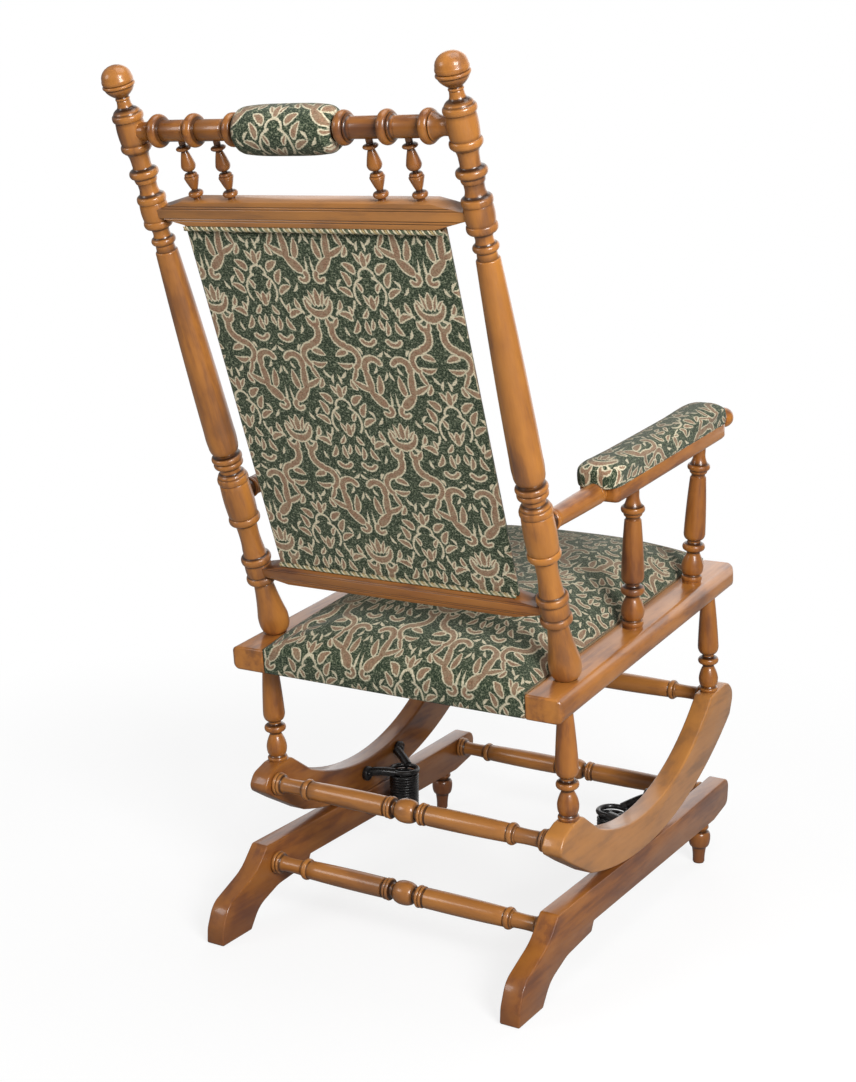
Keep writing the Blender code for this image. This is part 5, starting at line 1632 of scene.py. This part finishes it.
def buildArmPad(side, sign):
    p = armPad
    piece, lattice = gridBlock(f"arm_pad_{side}_cover", p["columns"], p["rows"], p["layers"])
    middle, halfLong = (p["start"] + p["end"]) / 2, (p["end"] - p["start"]) / 2
    held = []
    for vert, spot in zip(piece.data.vertices, lattice):
        layer = spot[2]
        a, along = crowd(vert.co.x, p["sideCrowding"]), crowd(vert.co.y, p["endCrowding"])
        toEnd = halfLong * (1 - abs(along))
        wide = p["half"] - p["round"] * (1 - quarter(toEnd, p["round"]))
        across = a * wide
        endRound = p["frontRound"] if along > 0 else p["rearRound"]
        lift = quarter(wide - abs(across) + p["lip"], p["sideRound"]) * quarter(toEnd + p["lip"], endRound)
        top = p["wall"] + (p["high"] - p["low"] - p["wall"]) * lift
        rise = (0.0, p["wall"] * p["wallMiddle"], top)[layer]
        if layer == 0:
            held.append(vert.index)
        full = p["wallFull"] if layer == 1 else 1.0
        vert.co = (across * full, p["low"] + rise + armBoard["lift"], middle + along * halfLong)
    flat = unrolled(piece, lattice, p["columns"], p["rows"], p["layers"])
    puff(piece, held, p["pressure"], p["cap"])
    layCloth(piece, flat)
    smoothOnce(piece)
    settle(piece, armFrame(sign), damaskCloth, "chair", "damask", f"arm_pad_{side}", angle=60)


headRoll = {
    "half": 0.0625, "across": 0.0540, "bore": 0.0242, "sink": 0.0012, "segments": 56,
    "endAcross": 0.0265, "mouth": 0.0030, "shoulder": 0.012, "taper": 0.0035,
    "gathers": 17, "gatherLong": 0.011, "gatherDeep": 0.022,
    "heldLong": 0.006, "heldRadius": 0.0135, "pressure": 3.0, "cap": 0.002,
    "clothHalf": 0.0848, "patternUp": 0.050,
}


def buildHeadRoll():
    h, half = headRoll, headRoll["half"]
    foot, head = axisOf("crest_rail")
    centre = (foot + head) / 2
    full, inner = h["across"] - h["taper"], half - h["shoulder"]
    rows = line(-half + h["mouth"], h["bore"]) + line(-half, h["endAcross"]) + under(-inner, full)
    for i in range(1, 10):
        t = i / 5 - 1
        rows += line(t * inner, h["across"] - h["taper"] * t ** 4)
    rows += line(inner, full) + over(half, h["endAcross"]) + line(half - h["mouth"], h["bore"])
    piece = spinOut("headrest_roll_cover", [Vector((r, 0, z)) for z, r in profileOf(rows)], h["segments"])
    bpy.ops.mesh.select_all(action="SELECT")
    bpy.ops.mesh.remove_doubles(threshold=1e-6)
    bpy.ops.mesh.select_all(action="DESELECT")
    bpy.ops.mesh.select_non_manifold(extend=False)
    bpy.ops.mesh.bridge_edge_loops()      # the bore, round the rail
    cleanUp()
    for vert in piece.data.vertices:      # gathers where the cloth is drawn in at the ends
        if math.hypot(vert.co.x, vert.co.y) > h["bore"] / 2 + 0.0006:
            pull = max(0.0, (abs(vert.co.z) - half + h["gatherLong"]) / h["gatherLong"])
            turn = math.atan2(vert.co.y, vert.co.x)
            scale = 1 + pull * h["gatherDeep"] * math.cos(h["gathers"] * turn)
            vert.co.x *= scale
            vert.co.y *= scale
    held = []
    for vert in piece.data.vertices:
        if abs(vert.co.z) > half - h["heldLong"] or math.hypot(vert.co.x, vert.co.y) < h["heldRadius"]:
            held.append(vert.index)
    puff(piece, held, h["pressure"], h["cap"])

    def rule(index, face):
        point = piece.data.vertices[index].co
        turn = math.atan2(point.y, point.x) / math.pi
        if face.center.y < 0 and point.y >= -1e-7 and point.x < 0:
            turn = -1.0
        if face.center.y > 0 and point.y <= 1e-7 and point.x < 0:
            turn = 1.0
        return point.z, turn * h["clothHalf"] + h["patternUp"]

    layCloth(piece, rule)
    smoothOnce(piece)
    sink = backFrame.to_3x3() @ Vector((0, 0, -h["sink"]))
    place = standOn(centre + sink, head + sink)
    settle(piece, place, damaskCloth, "chair", "damask", "headrest_roll", angle=60)


rope = {
    "across": {"top": 0.0070, "bottom": 0.0058}, "heights": {"top": 0.5688, "bottom": 0.1167},
    "half": 0.1668, "y": 0.0084, "pitch": 0.0140, "stepsPerTurn": 14,
    "strand": 0.22, "strandOut": 0.28,      # a strand's radius and its place, as shares of the rope's thickness
    "colours": ["ropeCream", "ropeGold", "ropeCream", "ropeGreen"],
}


def buildRope(place):
    r, across = rope, rope["across"][place]
    turns = 2 * r["half"] / r["pitch"]
    strands = []
    for i, finishName in enumerate(r["colours"]):
        strand = windRound("rope_strand", 8, r["strand"] * across, r["strandOut"] * across, turns,
                           int(r["stepsPerTurn"] * turns), 2 * r["half"], "NGON")
        strand.matrix_world = Matrix.Rotation(2 * math.pi * i / len(r["colours"]), 4, "Z")
        bpy.ops.object.transform_apply(location=True, rotation=True, scale=True)
        bpy.ops.object.mode_set(mode="EDIT")
        cleanUp()
        strand.data.materials.append(finish[finishName])
        strands.append(strand)
    piece = joinTo(f"rope_trim_{place}", *strands)
    start, end = (backFrame @ Vector((x, r["y"], r["heights"][place])) for x in (-r["half"], r["half"]))
    settle(piece, standOn(start, end), None, "chair", "damask", angle=60)


def buildUpholstery():
    buildBackCover()
    buildSeatCover()
    for side, sign in sides.items():
        buildArmPad(side, sign)
    buildHeadRoll()
    for place in rope["heights"]:
        buildRope(place)
    print("upholstery done")


buildUpholstery()

# Frame pieces that show only from below keep their CAD shape

plainNodes = {"seat_rail_rear": "innerWood", "seat_rail_front": "innerWood", "seat_webbing": "hessian"}
for node, name in plainNodes.items():
    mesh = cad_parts[node].data
    mesh.materials.clear()
    mesh.materials.append(finish[name])
